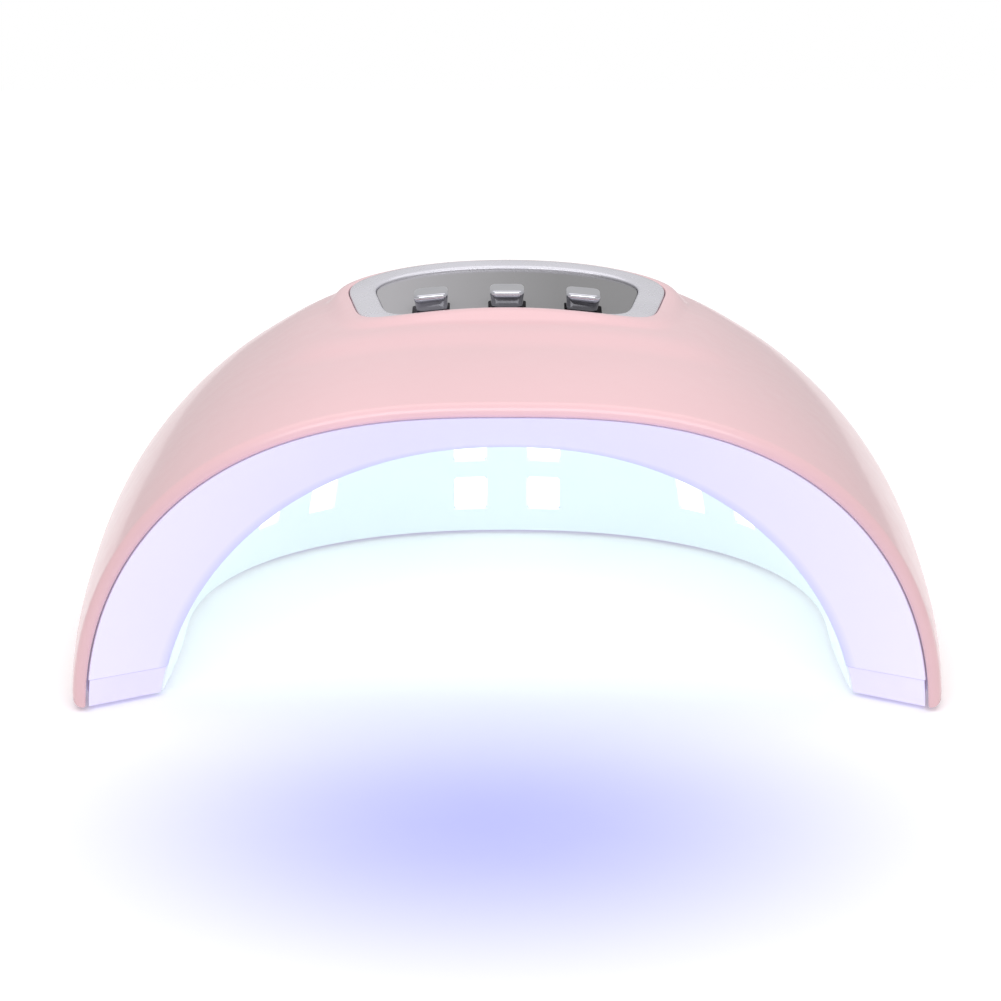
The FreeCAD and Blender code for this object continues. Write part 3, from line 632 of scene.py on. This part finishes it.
class LampColours(bpy.types.PropertyGroup):
    shell: colour_setting("Shell", "Colour of the glossy shell", (0.795, 0.508, 0.538))
    front: colour_setting("Front frame", "Colour of the band round the opening", (0.73, 0.695, 0.87))
    reflector: colour_setting("Reflector", "Colour of the inside", (0.83, 0.90, 0.91))
    bezel: colour_setting("Bezel", "Colour of the satin ring round the panel", (0.63, 0.62, 0.675))
    panel: colour_setting("Panel", "Colour of the smoked plate", (0.085, 0.082, 0.088))
    base: colour_setting("Base", "Colour of the base frame", (0.70, 0.66, 0.89))
    # painted light: this colour is painted into the floor as a pool of the lamp's light
    glow: colour_setting("Glow", "Colour that the lights throw on the table", (0.42, 0.435, 0.965))


class LampSizes(bpy.types.PropertyGroup):
    column: length_setting("Column spacing", "Spacing of the shell's mesh columns", 0.0021)
    row: length_setting("Row spacing", "Spacing of the shell's mesh rows", 0.0020)
    rim_round: length_setting("Rim rounding", "Radius of the shell's front edge", 0.0015)
    key_round: length_setting("Button rounding", "Radius of a button's upper edges", 0.0006)
    lens_round: length_setting("Lens rounding", "Radius of a lens's edges", 0.00035)


class LampStage(bpy.types.PropertyGroup):
    elevation: bpy.props.FloatProperty(name="Camera elevation", description="Camera height angle",
                                       default=math.radians(14), subtype="ANGLE", unit="ROTATION")
    distance: length_setting("Camera distance", "From the aim point to the camera", 0.900)
    lens: bpy.props.FloatProperty(name="Lens", description="Focal length in millimetres",
                                  default=176.35, min=10, subtype="DISTANCE_CAMERA")
    sky: bpy.props.FloatProperty(name="Studio light", description="Strength of the soft surroundings",
                                 default=1.0, min=0)
    lamp: bpy.props.FloatProperty(name="Lamp light", description="Strength of the lamp's own lights",
                                  default=1.0, min=0)


# ---- finishes -------------------------------------------------------------------------------
FINISH = {}


def gloss_shell(colour):
    """Glossy moulded shell: a clear coat over pink, with painted shade that darkens it towards the sides,
    and a faint ripple.
    """
    finish = Finish("pink_gloss")
    flow = finish.noise(22, 4, 0.55)
    ripple = finish.noise(300, 2, 0.5)
    # painted shade: the pink darkens towards the left and right sides
    aside = finish.add("ShaderNodeMath", {0: finish.along("X")}, operation="ABSOLUTE").outputs[0]
    sides = finish.share(aside, 0.30 * CAD_HIGH.x, 0.85 * CAD_HIGH.x, interpolation_type="SMOOTHSTEP")
    pink = finish.between(flow, shade(colour, 0.985), shade(colour, 1.015))
    finish.set(Base_Color=finish.mix(sides, pink, (*shade(colour, 0.87), 1)),
               Roughness=finish.between(ripple, 0.30, 0.36), Coat_Weight=0.45, Coat_Roughness=0.09,
               Specular_IOR_Level=0.4)
    return finish.bump(ripple, 0.12, 0.00002)


def front_band(colour):
    """Matt lilac band with a painted glow of its own colour, and painted blue shade in a thin line at the
    opening.
    """
    finish = Finish("lilac_band")
    flow = finish.noise(24, 4, 0.6)
    fine = finish.noise(1100, 2, 0.5)
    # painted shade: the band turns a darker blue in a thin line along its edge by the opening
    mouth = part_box("front_frame")[0].y + (FRAME_BACK - FRAME_FRONT) * MM
    inner = finish.share(finish.along("Y"), mouth - 0.0012, mouth - 0.0001)
    lilac = finish.between(flow, shade(colour, 0.985), shade(colour, 1.01))
    # painted light: the emission makes the whole band glow faintly in its own colour, standing in for light
    # falling on it
    finish.set(Base_Color=finish.mix(inner, lilac, (0.558, 0.558, 0.9, 1)),
               Roughness=finish.between(fine, 0.34, 0.44), Emission_Color=colour,
               Emission_Strength=0.16)
    return finish.bump(fine, 0.25, 0.00002)


def mirror_plastic(colour):
    """White reflector plastic with a soft sheen and a painted cyan-white glow, standing in for its own
    lights washing over it.
    """
    finish = Finish("reflector_white")
    flow = finish.noise(30, 4, 0.6)
    fine = finish.noise(800, 2, 0.5)
    # painted light: a faint cyan-white glow (emission) on the reflector, which is no lamp
    finish.set(Base_Color=finish.between(flow, shade(colour, 0.985), shade(colour, 1.01)),
               Roughness=finish.between(fine, 0.28, 0.4), Emission_Color=(0.92, 1.0, 1.0),
               Emission_Strength=0.14)
    return finish.bump(fine, 0.2, 0.00002)


def smoked(colour):
    """Smoked glossy plate with painted light that makes it paler towards the left, and a faint cloud."""
    finish = Finish("smoked_panel")
    cloud = finish.noise(18, 3, 0.5)
    # painted light: the plate's colour runs from pale at the left to dark at the right
    low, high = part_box("panel_plate")
    across = finish.share(finish.along("X"), low.x, high.x)
    painted_light_tone = finish.between(across, shade(colour, 3.6), shade(colour, 0.95), 0.05, 0.7)
    finish.set(Base_Color=finish.mix(finish.between(cloud, 0.0, 0.12), painted_light_tone, (0.2, 0.19, 0.2, 1)),
               Roughness=finish.between(cloud, 0.07, 0.12))
    return finish


def lens_glow():
    """Milky lit lens with a faintly uneven glow."""
    finish = Finish("lit_lens")
    fine = finish.noise(900, 2, 0.5)
    glow = finish.between(finish.noise(160, 2, 0.5), (0.80, 0.93, 1.0), (0.95, 0.99, 1.0))
    finish.set(Base_Color=(0.9, 0.95, 1.0), Roughness=finish.between(fine, 0.12, 0.22),
               Emission_Color=glow, Emission_Strength=0.75)
    return finish.bump(fine, 0.2, 0.00001)


def board_green():
    """Green solder mask over faint copper tracks."""
    finish = Finish("board_green")
    tracks = finish.add("ShaderNodeTexBrick", {
        "Vector": finish.where, "Color1": (0.02, 0.16, 0.07, 1), "Color2": (0.025, 0.19, 0.085, 1),
        "Mortar": (0.05, 0.28, 0.13, 1), "Scale": 320.0, "Mortar Size": 0.03})
    finish.set(Base_Color=tracks.outputs["Color"],
               Roughness=finish.between(finish.noise(500), 0.28, 0.4))
    return finish.bump(tracks.outputs["Fac"], 0.2, 0.00002)


def make_finishes(colours):
    """One finish for each material slot of the record."""
    FINISH.update({
        "pink_shell": gloss_shell(tuple(colours.shell)),
        "front_frame": front_band(tuple(colours.front)),
        "white_reflector": mirror_plastic(tuple(colours.reflector)),
        # painted light: the base frame glows faintly (emission) as if lit by the lamp, which lightens the
        # gap under the reflector
        "white_base": moulded("base_white", tuple(colours.base), 0.42, Emission_Color=tuple(colours.base),
                              Emission_Strength=0.18),
        "satin_bezel": metal("satin_silver", tuple(colours.bezel), 0.28, grain=260,
                             amount=0.4, grooves=0.02),
        "smoke_panel": smoked(tuple(colours.panel)),
        "chrome_button": metal("chrome", (0.50, 0.50, 0.54), 0.06, grain=300, grooves=0.01),
        "switch_key": moulded("key_black", (0.03, 0.03, 0.03), 0.4),
        "switch_body": moulded("switch_black", (0.05, 0.05, 0.055), 0.45),
        "green_board": board_green(),
        "chip_black": moulded("chip_epoxy", (0.025, 0.025, 0.028), 0.5, grain=1600, shift=0.12),
        "inductor_grey": moulded("ferrite", (0.10, 0.10, 0.105), 0.55, grain=1500, shift=0.1),
        "capacitor_can": metal("can_aluminium", (0.72, 0.73, 0.75), 0.3, stretch=(1, 1, 6)),
        "ceramic_parts": moulded("ceramic_tan", (0.42, 0.33, 0.22), 0.4, grain=2000, shift=0.1),
        "socket_nylon": moulded("socket_nylon", (0.82, 0.80, 0.74), 0.5),
        "socket_metal": metal("tinned_steel", (0.66, 0.67, 0.69), 0.25, stretch=(1, 6, 1)),
        "white_board": moulded("board_white", (0.86, 0.87, 0.86), 0.3),
        "led_chip": moulded("led_body", (0.88, 0.86, 0.62), 0.35, grain=1500,
                            Emission_Color=(0.55, 0.6, 1.0), Emission_Strength=1.2),
        "clear_lens": lens_glow(),
        "screw_steel": metal("screw_steel", (0.55, 0.56, 0.58), 0.32, grain=1800),
        "foot_rubber": moulded("foot_rubber", (0.55, 0.55, 0.56), 0.75, grain=1400, depth=0.00008,
                               shift=0.1),
        "red_lead": moulded("lead_red", (0.55, 0.02, 0.02), 0.4, grain=1200),
        "black_lead": moulded("lead_black", (0.02, 0.02, 0.02), 0.4, grain=1200),
        "white_lead": moulded("lead_white", (0.80, 0.80, 0.78), 0.4, grain=1200),
    })


def paint(made, slot_name):
    """Gives a piece or a CAD node the finish of a record slot."""
    made.data.materials.clear()
    made.data.materials.append(FINISH[slot_name].material)
    return made


def stand_for(made, body, slot_name, *nodes):
    """Lets a finished piece ride on a body and stand for CAD nodes."""
    paint(made, slot_name)
    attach(made, body)
    if nodes:
        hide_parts(*nodes)
    return made


# ---- shell shape ----------------------------------------------------------------------------
def even_shares(curve, count):
    """Shares from 0 to 1 that divide a curve into count even stretches."""
    fine = np.linspace(0, 1, 900)
    run = run_along(curve(fine))
    return np.interp(np.linspace(0, run[-1], count + 1), run, fine), run[-1]


def rim_curve(inset, cut, shares):
    """The shell's front edge from the crest to the right foot, at depth cut."""
    foot = cut / (HALF_WIDTH - inset)
    angle = math.pi / 2 + (foot - math.pi / 2) * shares
    c, s = np.cos(angle), np.sin(angle)
    r = reach(lambda r: r * s < dome_height(r * c, cut, inset) - BASE, 120, shares.shape)
    return np.stack([r * c, np.full_like(r, cut), BASE + r * s], 1)


def base_curve(inset, cut, shares):
    """The shell's lower edge from the right foot to the middle of the back."""
    foot = rim_curve(inset, cut, np.array([1.0]))[0]
    first = math.atan2(foot[1] - PANEL_AT, foot[0])
    angle = first + (math.pi / 2 - first) * shares
    c, s = np.cos(angle), np.sin(angle)
    r = reach(lambda r: dome_height(r * c, PANEL_AT + r * s, inset) > BASE + cut, 160, shares.shape)
    return np.stack([r * c, PANEL_AT + r * s, np.full_like(r, BASE + cut)], 1)


def both_sides(half):
    """A closed ring from its right half, which runs from the front middle to the back."""
    return np.concatenate([half, half[-2:0:-1] * [-1, 1, 1]])


def shell_grid(column_run, row_run, rim_round):
    """The shell as one closed skin: outside, rounded edges, inside and the panel opening."""
    def columns_along(curve):
        length = even_shares(lambda t: curve(0, 0, t), 1)[1]
        return even_shares(lambda t: curve(0, 0, t), round(length / column_run))[0]

    rim_shares, base_shares = columns_along(rim_curve), columns_along(base_curve)
    half = len(rim_shares) + len(base_shares) - 1

    def edge(inset, cut):
        return both_sides(np.concatenate([rim_curve(inset, cut, rim_shares),
                                          base_curve(inset, cut, base_shares)[1:]]))

    def outline(shares):
        x, y = panel_point(math.pi * (shares - 0.5), 4.0)
        return np.stack([x, y, 0 * x], 1)

    angle = math.pi * (even_shares(outline, half - 1)[0] - 0.5)
    angle = np.concatenate([angle, math.pi - angle[-2:0:-1]])
    # rows over the collar, by their distance out of the panel's opening
    collar = np.r_[0.3, np.linspace(0.6, COLLAR_RUN, 9), COLLAR_RUN + 1.2, COLLAR_RUN + 2.6]
    skirt = 60.0  # from the collar down to the edge
    rows_down = round(skirt / row_run)

    def collar_row(out, inset, drop=0.0):
        x, y = panel_point(angle, out)
        return np.stack([x, y, shell_height(x, y, out, inset) - drop], 1)

    def side(inset, cut):
        """Rows over one skin, from beside the opening down to the edge."""
        rows = [collar_row(out, inset) for out in collar]
        start, end = rows[-1], edge(inset, cut)
        for j in range(1, rows_down):
            x, y = (start + (end - start) * math.sin(math.pi / 2 * j / rows_down))[:, :2].T
            rows.append(np.stack([x, y, shell_height(x, y, out_of_panel(x, y), inset)], 1))
        return rows + [end]

    inner_round = 0.4
    outer = side(0, rim_round)
    inner = side(WALL, inner_round)
    rows = outer + rounded(outer[-1], edge(0, 0), edge(rim_round, 0), 7)[1:]
    inner_face = edge(WALL - inner_round, 0)
    rows += rounded(inner_face, edge(WALL, 0), inner[-1], 4)
    rows += inner[-2::-1]
    low, high = collar_row(0, 0, WALL - 0.3), collar_row(0, 0, 0.3)
    rows += [low] + rounded(high, collar_row(0, 0), rows[0], 4)[:-1]
    return np.array(rows).transpose(1, 0, 2)


def slot_cutter(x_places, middle_z, width, height, bottom):
    """Upright or lying round-ended slots through the back wall, as one cutting solid."""
    slot = turned("slot_cutter", [(width / 2, 0), (width / 2, 30)], 2.0, 24)
    stretch = (height - width) / 2 * MM
    for vert in slot.data.vertices:
        vert.co.y += math.copysign(stretch, vert.co.y)
    places = [(place([x, bottom, middle_z]), (0, 1, 0), (1, 0, 0)) for x in x_places]
    return set_out("slots", slot, places, FINISH["pink_shell"])


# ---- operators ------------------------------------------------------------------------------
class NAILLAMP_OT_finishes(bpy.types.Operator):
    """Makes the finishes and gives them to the CAD nodes"""
    bl_idname = "nail_lamp.finishes"
    bl_label = "Finishes"

    def execute(self, context):
        make_finishes(context.scene.lamp_colours)
        for row in frame["record"]["subparts"]:
            paint(NODES[row["node"]], row["material_slot"])
        return {"FINISHED"}


class NAILLAMP_OT_shell(bpy.types.Operator):
    """Builds the glossy outer shell with its rounded rim, vents and inlet"""
    bl_idname = "nail_lamp.shell"
    bl_label = "Outer shell"

    def execute(self, context):
        sizes = context.scene.lamp_sizes
        grid = shell_grid(sizes.column / MM, sizes.row / MM, sizes.rim_round / MM)
        shell = grid_object("shell_cover", grid, 50)
        cut_with(shell, slot_cutter(VENTS, VENT_Z, *VENT_SLOT, FULL_DEPTH - 28))
        wide, high = INLET_HOLE
        inlet = slot_cutter([0], INLET_Z, high, high, FULL_DEPTH - 8)
        for vert in inlet.data.vertices:
            vert.co.x += math.copysign((wide - high) / 2 * MM, vert.co.x)
        cut_with(shell, inlet)
        tidy(shell, 50)
        stand_for(shell, "housing", "pink_shell", "outer_shell")
        return {"FINISHED"}


class NAILLAMP_OT_bosses(bpy.types.Operator):
    """Sets out the screw bosses moulded inside the shell"""
    bl_idname = "nail_lamp.bosses"
    bl_label = "Screw bosses"

    def execute(self, context):
        bottom, highest = BASE + FOOT_BAND, 56.0
        hole, outside = 1.1, 3.0
        bosses = []
        for screw in islands("base_screws"):
            x, y = screw.mean(0)[:2] / MM + [0, FULL_DEPTH / 2]
            rise = min(float(dome_height(x, y, WALL)), highest) - bottom - 0.2
            bosses.append(stood([
                (hole, 9.0), (hole, 0.3), (hole + 0.3, 0.0), (outside - 0.2, 0.0), (outside, 0.2),
                (outside, max(2.0, rise - 6))], x, y, bottom))
        stand_for(joined("shell_bosses", bosses), "housing", "pink_shell")
        return {"FINISHED"}


class NAILLAMP_OT_front_frame(bpy.types.Operator):
    """Lofts the lilac frame between the rim and the opening"""
    bl_idname = "nail_lamp.front_frame"
    bl_label = "Front frame"

    def execute(self, context):
        back = FRAME_BACK + 1.2
        flange = FRAME_FRONT + 3.4
        low = BASE + FOOT_BAND + 0.1
        sections = [
            self.arch(FRAME_FRONT, low, lambda x: dome_height(x, FRAME_FRONT, WALL + GAP)),
            self.arch(FRAME_BACK, low, lambda x: liner_height(x, FRAME_BACK, 0)),
            self.arch(back, low, lambda x: liner_height(x, FRAME_BACK, 0)),
            self.arch(back, low, lambda x: liner_height(x, FRAME_BACK, -FRAME_WALL)),
            self.arch(flange, low, lambda x: dome_height(x, flange, WALL + GAP + 2.2)),
            self.arch(flange, low, lambda x: dome_height(x, flange, WALL + GAP))]
        loops = round_section(np.array(sections), (0.45, 0.5, 0.2, 0.3, 0.3, 0.3))
        made = loft("front_band", loops, False, 240, FINISH["front_frame"])
        stand_for(made, "housing", "front_frame", "front_frame")
        return {"FINISHED"}

    @staticmethod
    def arch(y, low, top_at):
        """An arch at depth y that stands on level low at both ends."""
        angle = np.linspace(0, math.pi, 241)
        c, s = np.cos(angle), np.sin(angle)
        r = reach(lambda r: r * s < np.maximum(top_at(r * c) - BASE, 1e-6), 120, angle.shape)
        points = np.stack([r * c, np.full_like(r, y), BASE + r * s], 1)
        right = points[:121]
        x = np.interp(low, right[:, 2], right[:, 0])
        right = np.concatenate([[[x, y, low]], right[right[:, 2] > low + 0.05]])
        run = run_along(right)
        even = np.linspace(0, run[-1], 121)
        half = np.stack([np.interp(even, run, right[:, axis]) for axis in range(3)], 1)
        return np.concatenate([half, half[-2::-1] * [-1, 1, 1]])


class NAILLAMP_OT_bezel(bpy.types.Operator):
    """Lofts the satin ring round the control panel and sets out the posts under it"""
    bl_idname = "nail_lamp.bezel"
    bl_label = "Bezel"

    def execute(self, context):
        under = -PLATE_DROP - PLATE - 0.05
        ledge = -BEZEL_WIDTH - 1.5
        flange_out, flange_top, flange_foot = 2.2, -3.0, -3.9
        profile = [  # growth of the outline, height above the bezel's edge, rounding
            (-0.15, -0.06, 0.25), (-1.7, 0.10, 0.6), (-3.5, 0.0, 0.6), (-4.45, -0.14, 0.2),
            (-BEZEL_WIDTH, -0.5, 0.15), (-BEZEL_WIDTH, under, 0.1), (ledge, under, 0.1),
            (ledge, flange_foot, 0.1), (flange_out, flange_foot, 0.2), (flange_out, flange_top, 0.2),
            (-0.15, flange_top, 0.1)]
        fine = np.linspace(0, 2 * math.pi, 721)[:-1]
        around = run_along(np.stack(panel_point(fine, -2.0), 1))
        angle = np.interp(np.linspace(0, around[-1], 361)[:-1], around, fine)
        corners = []
        for grow, rise, _ in profile:
            x, y = panel_point(angle, grow)
            corners.append(np.stack([x, y, bezel_level(x, y) + rise], 1))
        loops = round_section(np.array(corners), [row[2] for row in profile], 4)
        made = loft("bezel_ring", loops, True, 361, FINISH["satin_bezel"])
        stand_for(made, "housing", "satin_bezel", "control_bezel")
        hole, outside = 1.0, 2.1
        posts = []
        for x, y in BOARD_POSTS:
            high = float(bezel_level(x, y)) + flange_foot + 0.5 - BOARD_TOP
            posts.append(stood([
                (hole, 3.4), (hole, 0.2), (hole + 0.15, 0.0), (outside - 0.15, 0.0), (outside, 0.15),
                (outside, high)], x, y, BOARD_TOP))
        stand_for(joined("bezel_posts", posts), "housing", "satin_bezel")
        return {"FINISHED"}


class NAILLAMP_OT_buttons(bpy.types.Operator):
    """Builds the three chrome timer buttons, each on its own body"""
    bl_idname = "nail_lamp.buttons"
    bl_label = "Timer buttons"

    def execute(self, context):
        key_round = context.scene.lamp_sizes.key_round / MM
        half, proud, foot, power = 3.1, 3.2, -1.95, 7.0
        profile = [(1.3, foot - 1.2), (1.3, foot - 0.8), (3.9, foot - 0.8), (4.0, foot - 0.7),
                   (4.0, foot - 0.1), (3.9, foot), (half - 0.25, foot), (half - 0.32, foot + 2.2),
                   (half - 0.12, foot + 3.6), (half, proud - key_round - 0.25)]
        profile += corner(half - key_round, proud - key_round, key_round, 0, 90, 6)
        profile += [(1.9, proud - 0.03), (1.2, proud - 0.07), (0.5, proud - 0.09)]
        for name in ("left", "middle", "right"):
            node = f"timer_button_{name}"
            low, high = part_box(node)
            x = (low.x + high.x) / 2 / MM
            cap = turned(f"button_cap_{name}", profile, power, 72)
            normal = Vector((2 * PANEL_CAMBER * x, -PANEL_PITCH, 1)).normalized()
            spot = place([x, BUTTON_AT, bezel_level(x, BUTTON_AT) - PLATE_DROP])
            turn = Vector((0, 0, 1)).rotation_difference(normal).to_matrix().to_4x4()
            # square to the panel's camber and pitch, like the CAD button
            cap.data.transform(Matrix.Translation(spot) @ turn)
            stand_for(cap, f"button_{name}", "chrome_button", node)
        return {"FINISHED"}


class NAILLAMP_OT_lights(bpy.types.Operator):
    """Sets out the lenses and light chips where the reflector holds them"""
    bl_idname = "nail_lamp.lights"
    bl_label = "Lenses and chips"

    def execute(self, context):
        lens_round = context.scene.lamp_sizes.lens_round / MM
        middle = np.array(place([0, CEILING_AT, 14]))
        for group in ("rear", "left", "right", "top"):
            for node, half, thick, slot_name in (
                    (f"{group}_lenses", 3.15, 1.0, "clear_lens"),
                    (f"{group}_led_chips", 2.5, 0.8, "led_chip")):
                places = [block_axes(points, middle) for points in islands(node)]
                profile = [(half - 0.1, -thick / 2), (half, -thick / 2 + 0.1)]
                if slot_name == "clear_lens":
                    profile += corner(half - lens_round, thick / 2 - lens_round - 0.12,
                                      lens_round, 0, 80, 4)
                    profile += [(half * 0.6, thick / 2 - 0.04), (half * 0.25, thick / 2)]
                else:
                    profile += [(half, thick / 2 - 0.1), (half - 0.1, thick / 2), (half * 0.72, thick / 2),
                                (half * 0.66, thick / 2 - 0.25), (half * 0.2, thick / 2 - 0.25)]
                piece = turned("light_piece", profile, 14.0, 48)
                made = set_out(f"{node}_set", piece, places, FINISH[slot_name])
                stand_for(made, "housing", slot_name, node)
        return {"FINISHED"}


class NAILLAMP_OT_fasteners(bpy.types.Operator):
    """Sets out the cross-head screws and the rubber feet"""
    bl_idname = "nail_lamp.fasteners"
    bl_label = "Screws and feet"

    def execute(self, context):
        for node, head, head_high, shank, facing in (
                ("base_screws", 2.8, 1.65, 1.05, -1), ("board_screws", 2.0, 1.2, 0.9, -1),
                ("power_board_screws", 1.6, 1.0, 0.75, 1)):
            long, places = self.places(node, facing > 0, facing)
            piece = self.screw(head, head_high, shank, long)
            made = set_out(f"{node}_set", piece, places, FINISH["screw_steel"])
            stand_for(made, "housing", "screw_steel", node)
        thick, places = self.places("rubber_feet", False, 1)
        foot = turned("foot", [(1.4, 0.12), (1.9, 0.0), *corner(3.65, 0.35, 0.35, -90, 0, 5), (4.0, thick)])
        made = set_out("feet_set", foot, places, FINISH["foot_rubber"])
        stand_for(made, "housing", "foot_rubber", "rubber_feet")
        return {"FINISHED"}

    @staticmethod
    def places(node, at_top, facing):
        """The height of a node's solids in millimetres, and a place at the top or foot of each."""
        places = []
        for points in islands(node):
            low, high = points.min(0), points.max(0)
            centre = (low + high) / 2
            centre[2] = high[2] if at_top else low[2]
            places.append((centre, (0, 0, facing), (1, 0, 0)))
        return np.ptp(islands(node)[0][:, 2]) / MM, places

    @staticmethod
    def screw(head, head_high, shank, long):
        """A cross-head screw: the top of its head at the origin, facing +Z, its point below."""
        turns = 7
        pitch = (long - head_high - 1.0) / turns
        thread = []
        for k in range(turns):
            z = -long + 1.0 + pitch * k
            thread += [(shank * 0.82, z), (shank, z + pitch * 0.45), (shank * 0.82, z + pitch * 0.9)]
        profile = [(0.15, -long), (shank * 0.8, -long + 0.9), *thread, (shank * 0.85, -head_high),
                   (head, -head_high), (head, -head_high * 0.55),
                   *corner(head * 0.8, -head_high * 0.4, head * 0.2, 0, 75, 3), (head * 0.3, 0)]
        made = turned("screw_piece", profile, 2.0, 24)
        for turn in (0, math.pi / 2):
            bar = turned("bar", [(0.14 * head, -head_high * 0.5), (0.14 * head, 1.0)], 8.0, 16)
            for vert in bar.data.vertices:
                vert.co.x *= 4.6
            bar.data.transform(Matrix.Rotation(turn, 4, "Z"))
            cut_with(made, bar)
        return tidy(made, 35)


class NAILLAMP_OT_stage(bpy.types.Operator):
    """Sets the pale floor, the soft lights and the camera"""
    bl_idname = "nail_lamp.stage"
    bl_label = "Stage"

    def execute(self, context):
        stage = context.scene.lamp_stage
        self.camera(stage)
        self.floor(context.scene.lamp_colours)
        self.sky(stage.sky)
        self.lights(stage)
        context.scene.view_settings.view_transform = "Standard"
        return {"FINISHED"}

    @staticmethod
    def camera(stage):
        camera = new_object("camera", bpy.data.cameras.new("camera"))
        aim = Vector((0, -0.008, 0.0227))
        away = Vector((0, -math.cos(stage.elevation), math.sin(stage.elevation)))
        camera.location = aim + away * stage.distance
        camera.rotation_mode = "QUATERNION"
        camera.rotation_quaternion = (-away).to_track_quat("-Z", "Y")
        camera.data.sensor_width = 36
        camera.data.lens = stage.lens
        camera.data.shift_x = -0.0065
        bpy.context.scene.camera = camera

    @staticmethod
    def floor(colours):
        far = 0.6  # the floor ends there, and the bright surroundings go on
        mesh = bpy.data.meshes.new("floor")
        mesh.from_pydata([(-9, -9, 0), (9, -9, 0), (9, far, 0), (-9, far, 0)], [], [(0, 1, 2, 3)])
        floor = new_object("floor", mesh)
        finish = Finish("floor_white")
        # painted light: a soft pool of the lamp's blue light is painted into the floor's colour and
        # emission, in front of the lamp
        middle, half = (-0.002, -0.131), (0.108, 0.121)  # of the pool of light, in metres
        shifted = finish.add("ShaderNodeMapping", {
            "Vector": finish.where, "Location": (-middle[0] / half[0], -middle[1] / half[1], 0),
            "Scale": (1 / half[0], 1 / half[1], 1)}, vector_type="POINT")
        pool = finish.add("ShaderNodeTexGradient", {"Vector": shifted.outputs[0]},
                          gradient_type="SPHERICAL")
        soft = finish.share(pool.outputs["Fac"], 0, 1, interpolation_type="SMOOTHSTEP")
        painted_pool_colour = finish.mix(soft, (0.95, 0.95, 0.95, 1), (*tuple(colours.glow), 1))
        finish.set(Base_Color=painted_pool_colour, Roughness=finish.between(finish.noise(90), 0.75, 0.85),
                   Emission_Color=painted_pool_colour, Emission_Strength=0.12)
        floor.data.materials.append(finish.material)

    @staticmethod
    def sky(strength):
        world = bpy.data.worlds.new("studio")
        bpy.context.scene.world = world
        world.use_nodes = True
        nodes = Nodes(world.node_tree)
        where = nodes.add("ShaderNodeTexCoord").outputs["Generated"]
        split = nodes.add("ShaderNodeSeparateXYZ", {0: where})
        rise = nodes.add("ShaderNodeMapRange", {
            "Value": split.outputs["Z"], "To Min": 0.60 * strength, "To Max": 0.95 * strength})
        seen = nodes.add("ShaderNodeLightPath").outputs["Is Camera Ray"]
        whiter = nodes.add("ShaderNodeMath", {0: rise.outputs[0], 1: seen}, operation="MAXIMUM")
        back = world.node_tree.nodes["Background"]
        nodes.feed(back.inputs["Color"], (1, 1, 1, 1))
        nodes.feed(back.inputs["Strength"], whiter.outputs[0])

    @staticmethod
    def lights(stage):
        def area(name, spot, aim, size, power, colour):
            light = bpy.data.lights.new(name, "AREA")
            light.shape = "RECTANGLE"
            light.size, light.size_y = size
            light.energy = power
            light.color = colour
            made = new_object(name, light)
            made.location = spot
            made.rotation_mode = "QUATERNION"
            made.rotation_quaternion = (Vector(aim) - Vector(spot)).to_track_quat("-Z", "Y")
        area("overhead_softbox", (0, 0.1, 0.9), (0, 0, 0), (0.9, 0.5), 1.2, (1, 1, 1))
        area("front_softbox", (0, -1.3, 1.0), (0, 0, 0.03), (1.2, 0.7), 8.3, (1, 1, 1))
        glow = stage.lamp
        area("lamp_ceiling_glow", (0, -0.004, 0.042), (0, -0.004, 0), (0.036, 0.036), 0.006 * glow,
             (0.9, 1.0, 1.0))


STEPS = (NAILLAMP_OT_stage, NAILLAMP_OT_finishes, NAILLAMP_OT_shell, NAILLAMP_OT_bosses,
         NAILLAMP_OT_front_frame, NAILLAMP_OT_bezel, NAILLAMP_OT_buttons, NAILLAMP_OT_lights,
         NAILLAMP_OT_fasteners)


class NAILLAMP_PT_panel(bpy.types.Panel):
    """Lists the lamp's sizes, colours and building steps"""
    bl_idname = "NAILLAMP_PT_panel"
    bl_label = "Nail Lamp"
    bl_space_type = "VIEW_3D"
    bl_region_type = "UI"
    bl_category = "Nail Lamp"

    def draw(self, context):
        for title, group in (("Colours", context.scene.lamp_colours),
                             ("Sizes", context.scene.lamp_sizes), ("Stage", context.scene.lamp_stage)):
            box = self.layout.box()
            box.label(text=title)
            for name in group.__annotations__:
                box.prop(group, name)
        for step in STEPS:
            self.layout.operator(step.bl_idname)


GROUPS = (("lamp_colours", LampColours), ("lamp_sizes", LampSizes), ("lamp_stage", LampStage))


def register():
    for name, group in GROUPS:
        bpy.utils.register_class(group)
        setattr(bpy.types.Scene, name, bpy.props.PointerProperty(type=group))
    for step in (*STEPS, NAILLAMP_PT_panel):
        bpy.utils.register_class(step)


def unregister():
    for step in (*STEPS, NAILLAMP_PT_panel):
        bpy.utils.unregister_class(step)
    for name, group in GROUPS:
        delattr(bpy.types.Scene, name)
        bpy.utils.unregister_class(group)


def main():
    register()
    for step in STEPS:
        group, name = step.bl_idname.split(".")
        getattr(getattr(bpy.ops, group), name)()


if __name__ == "__main__":
    main()
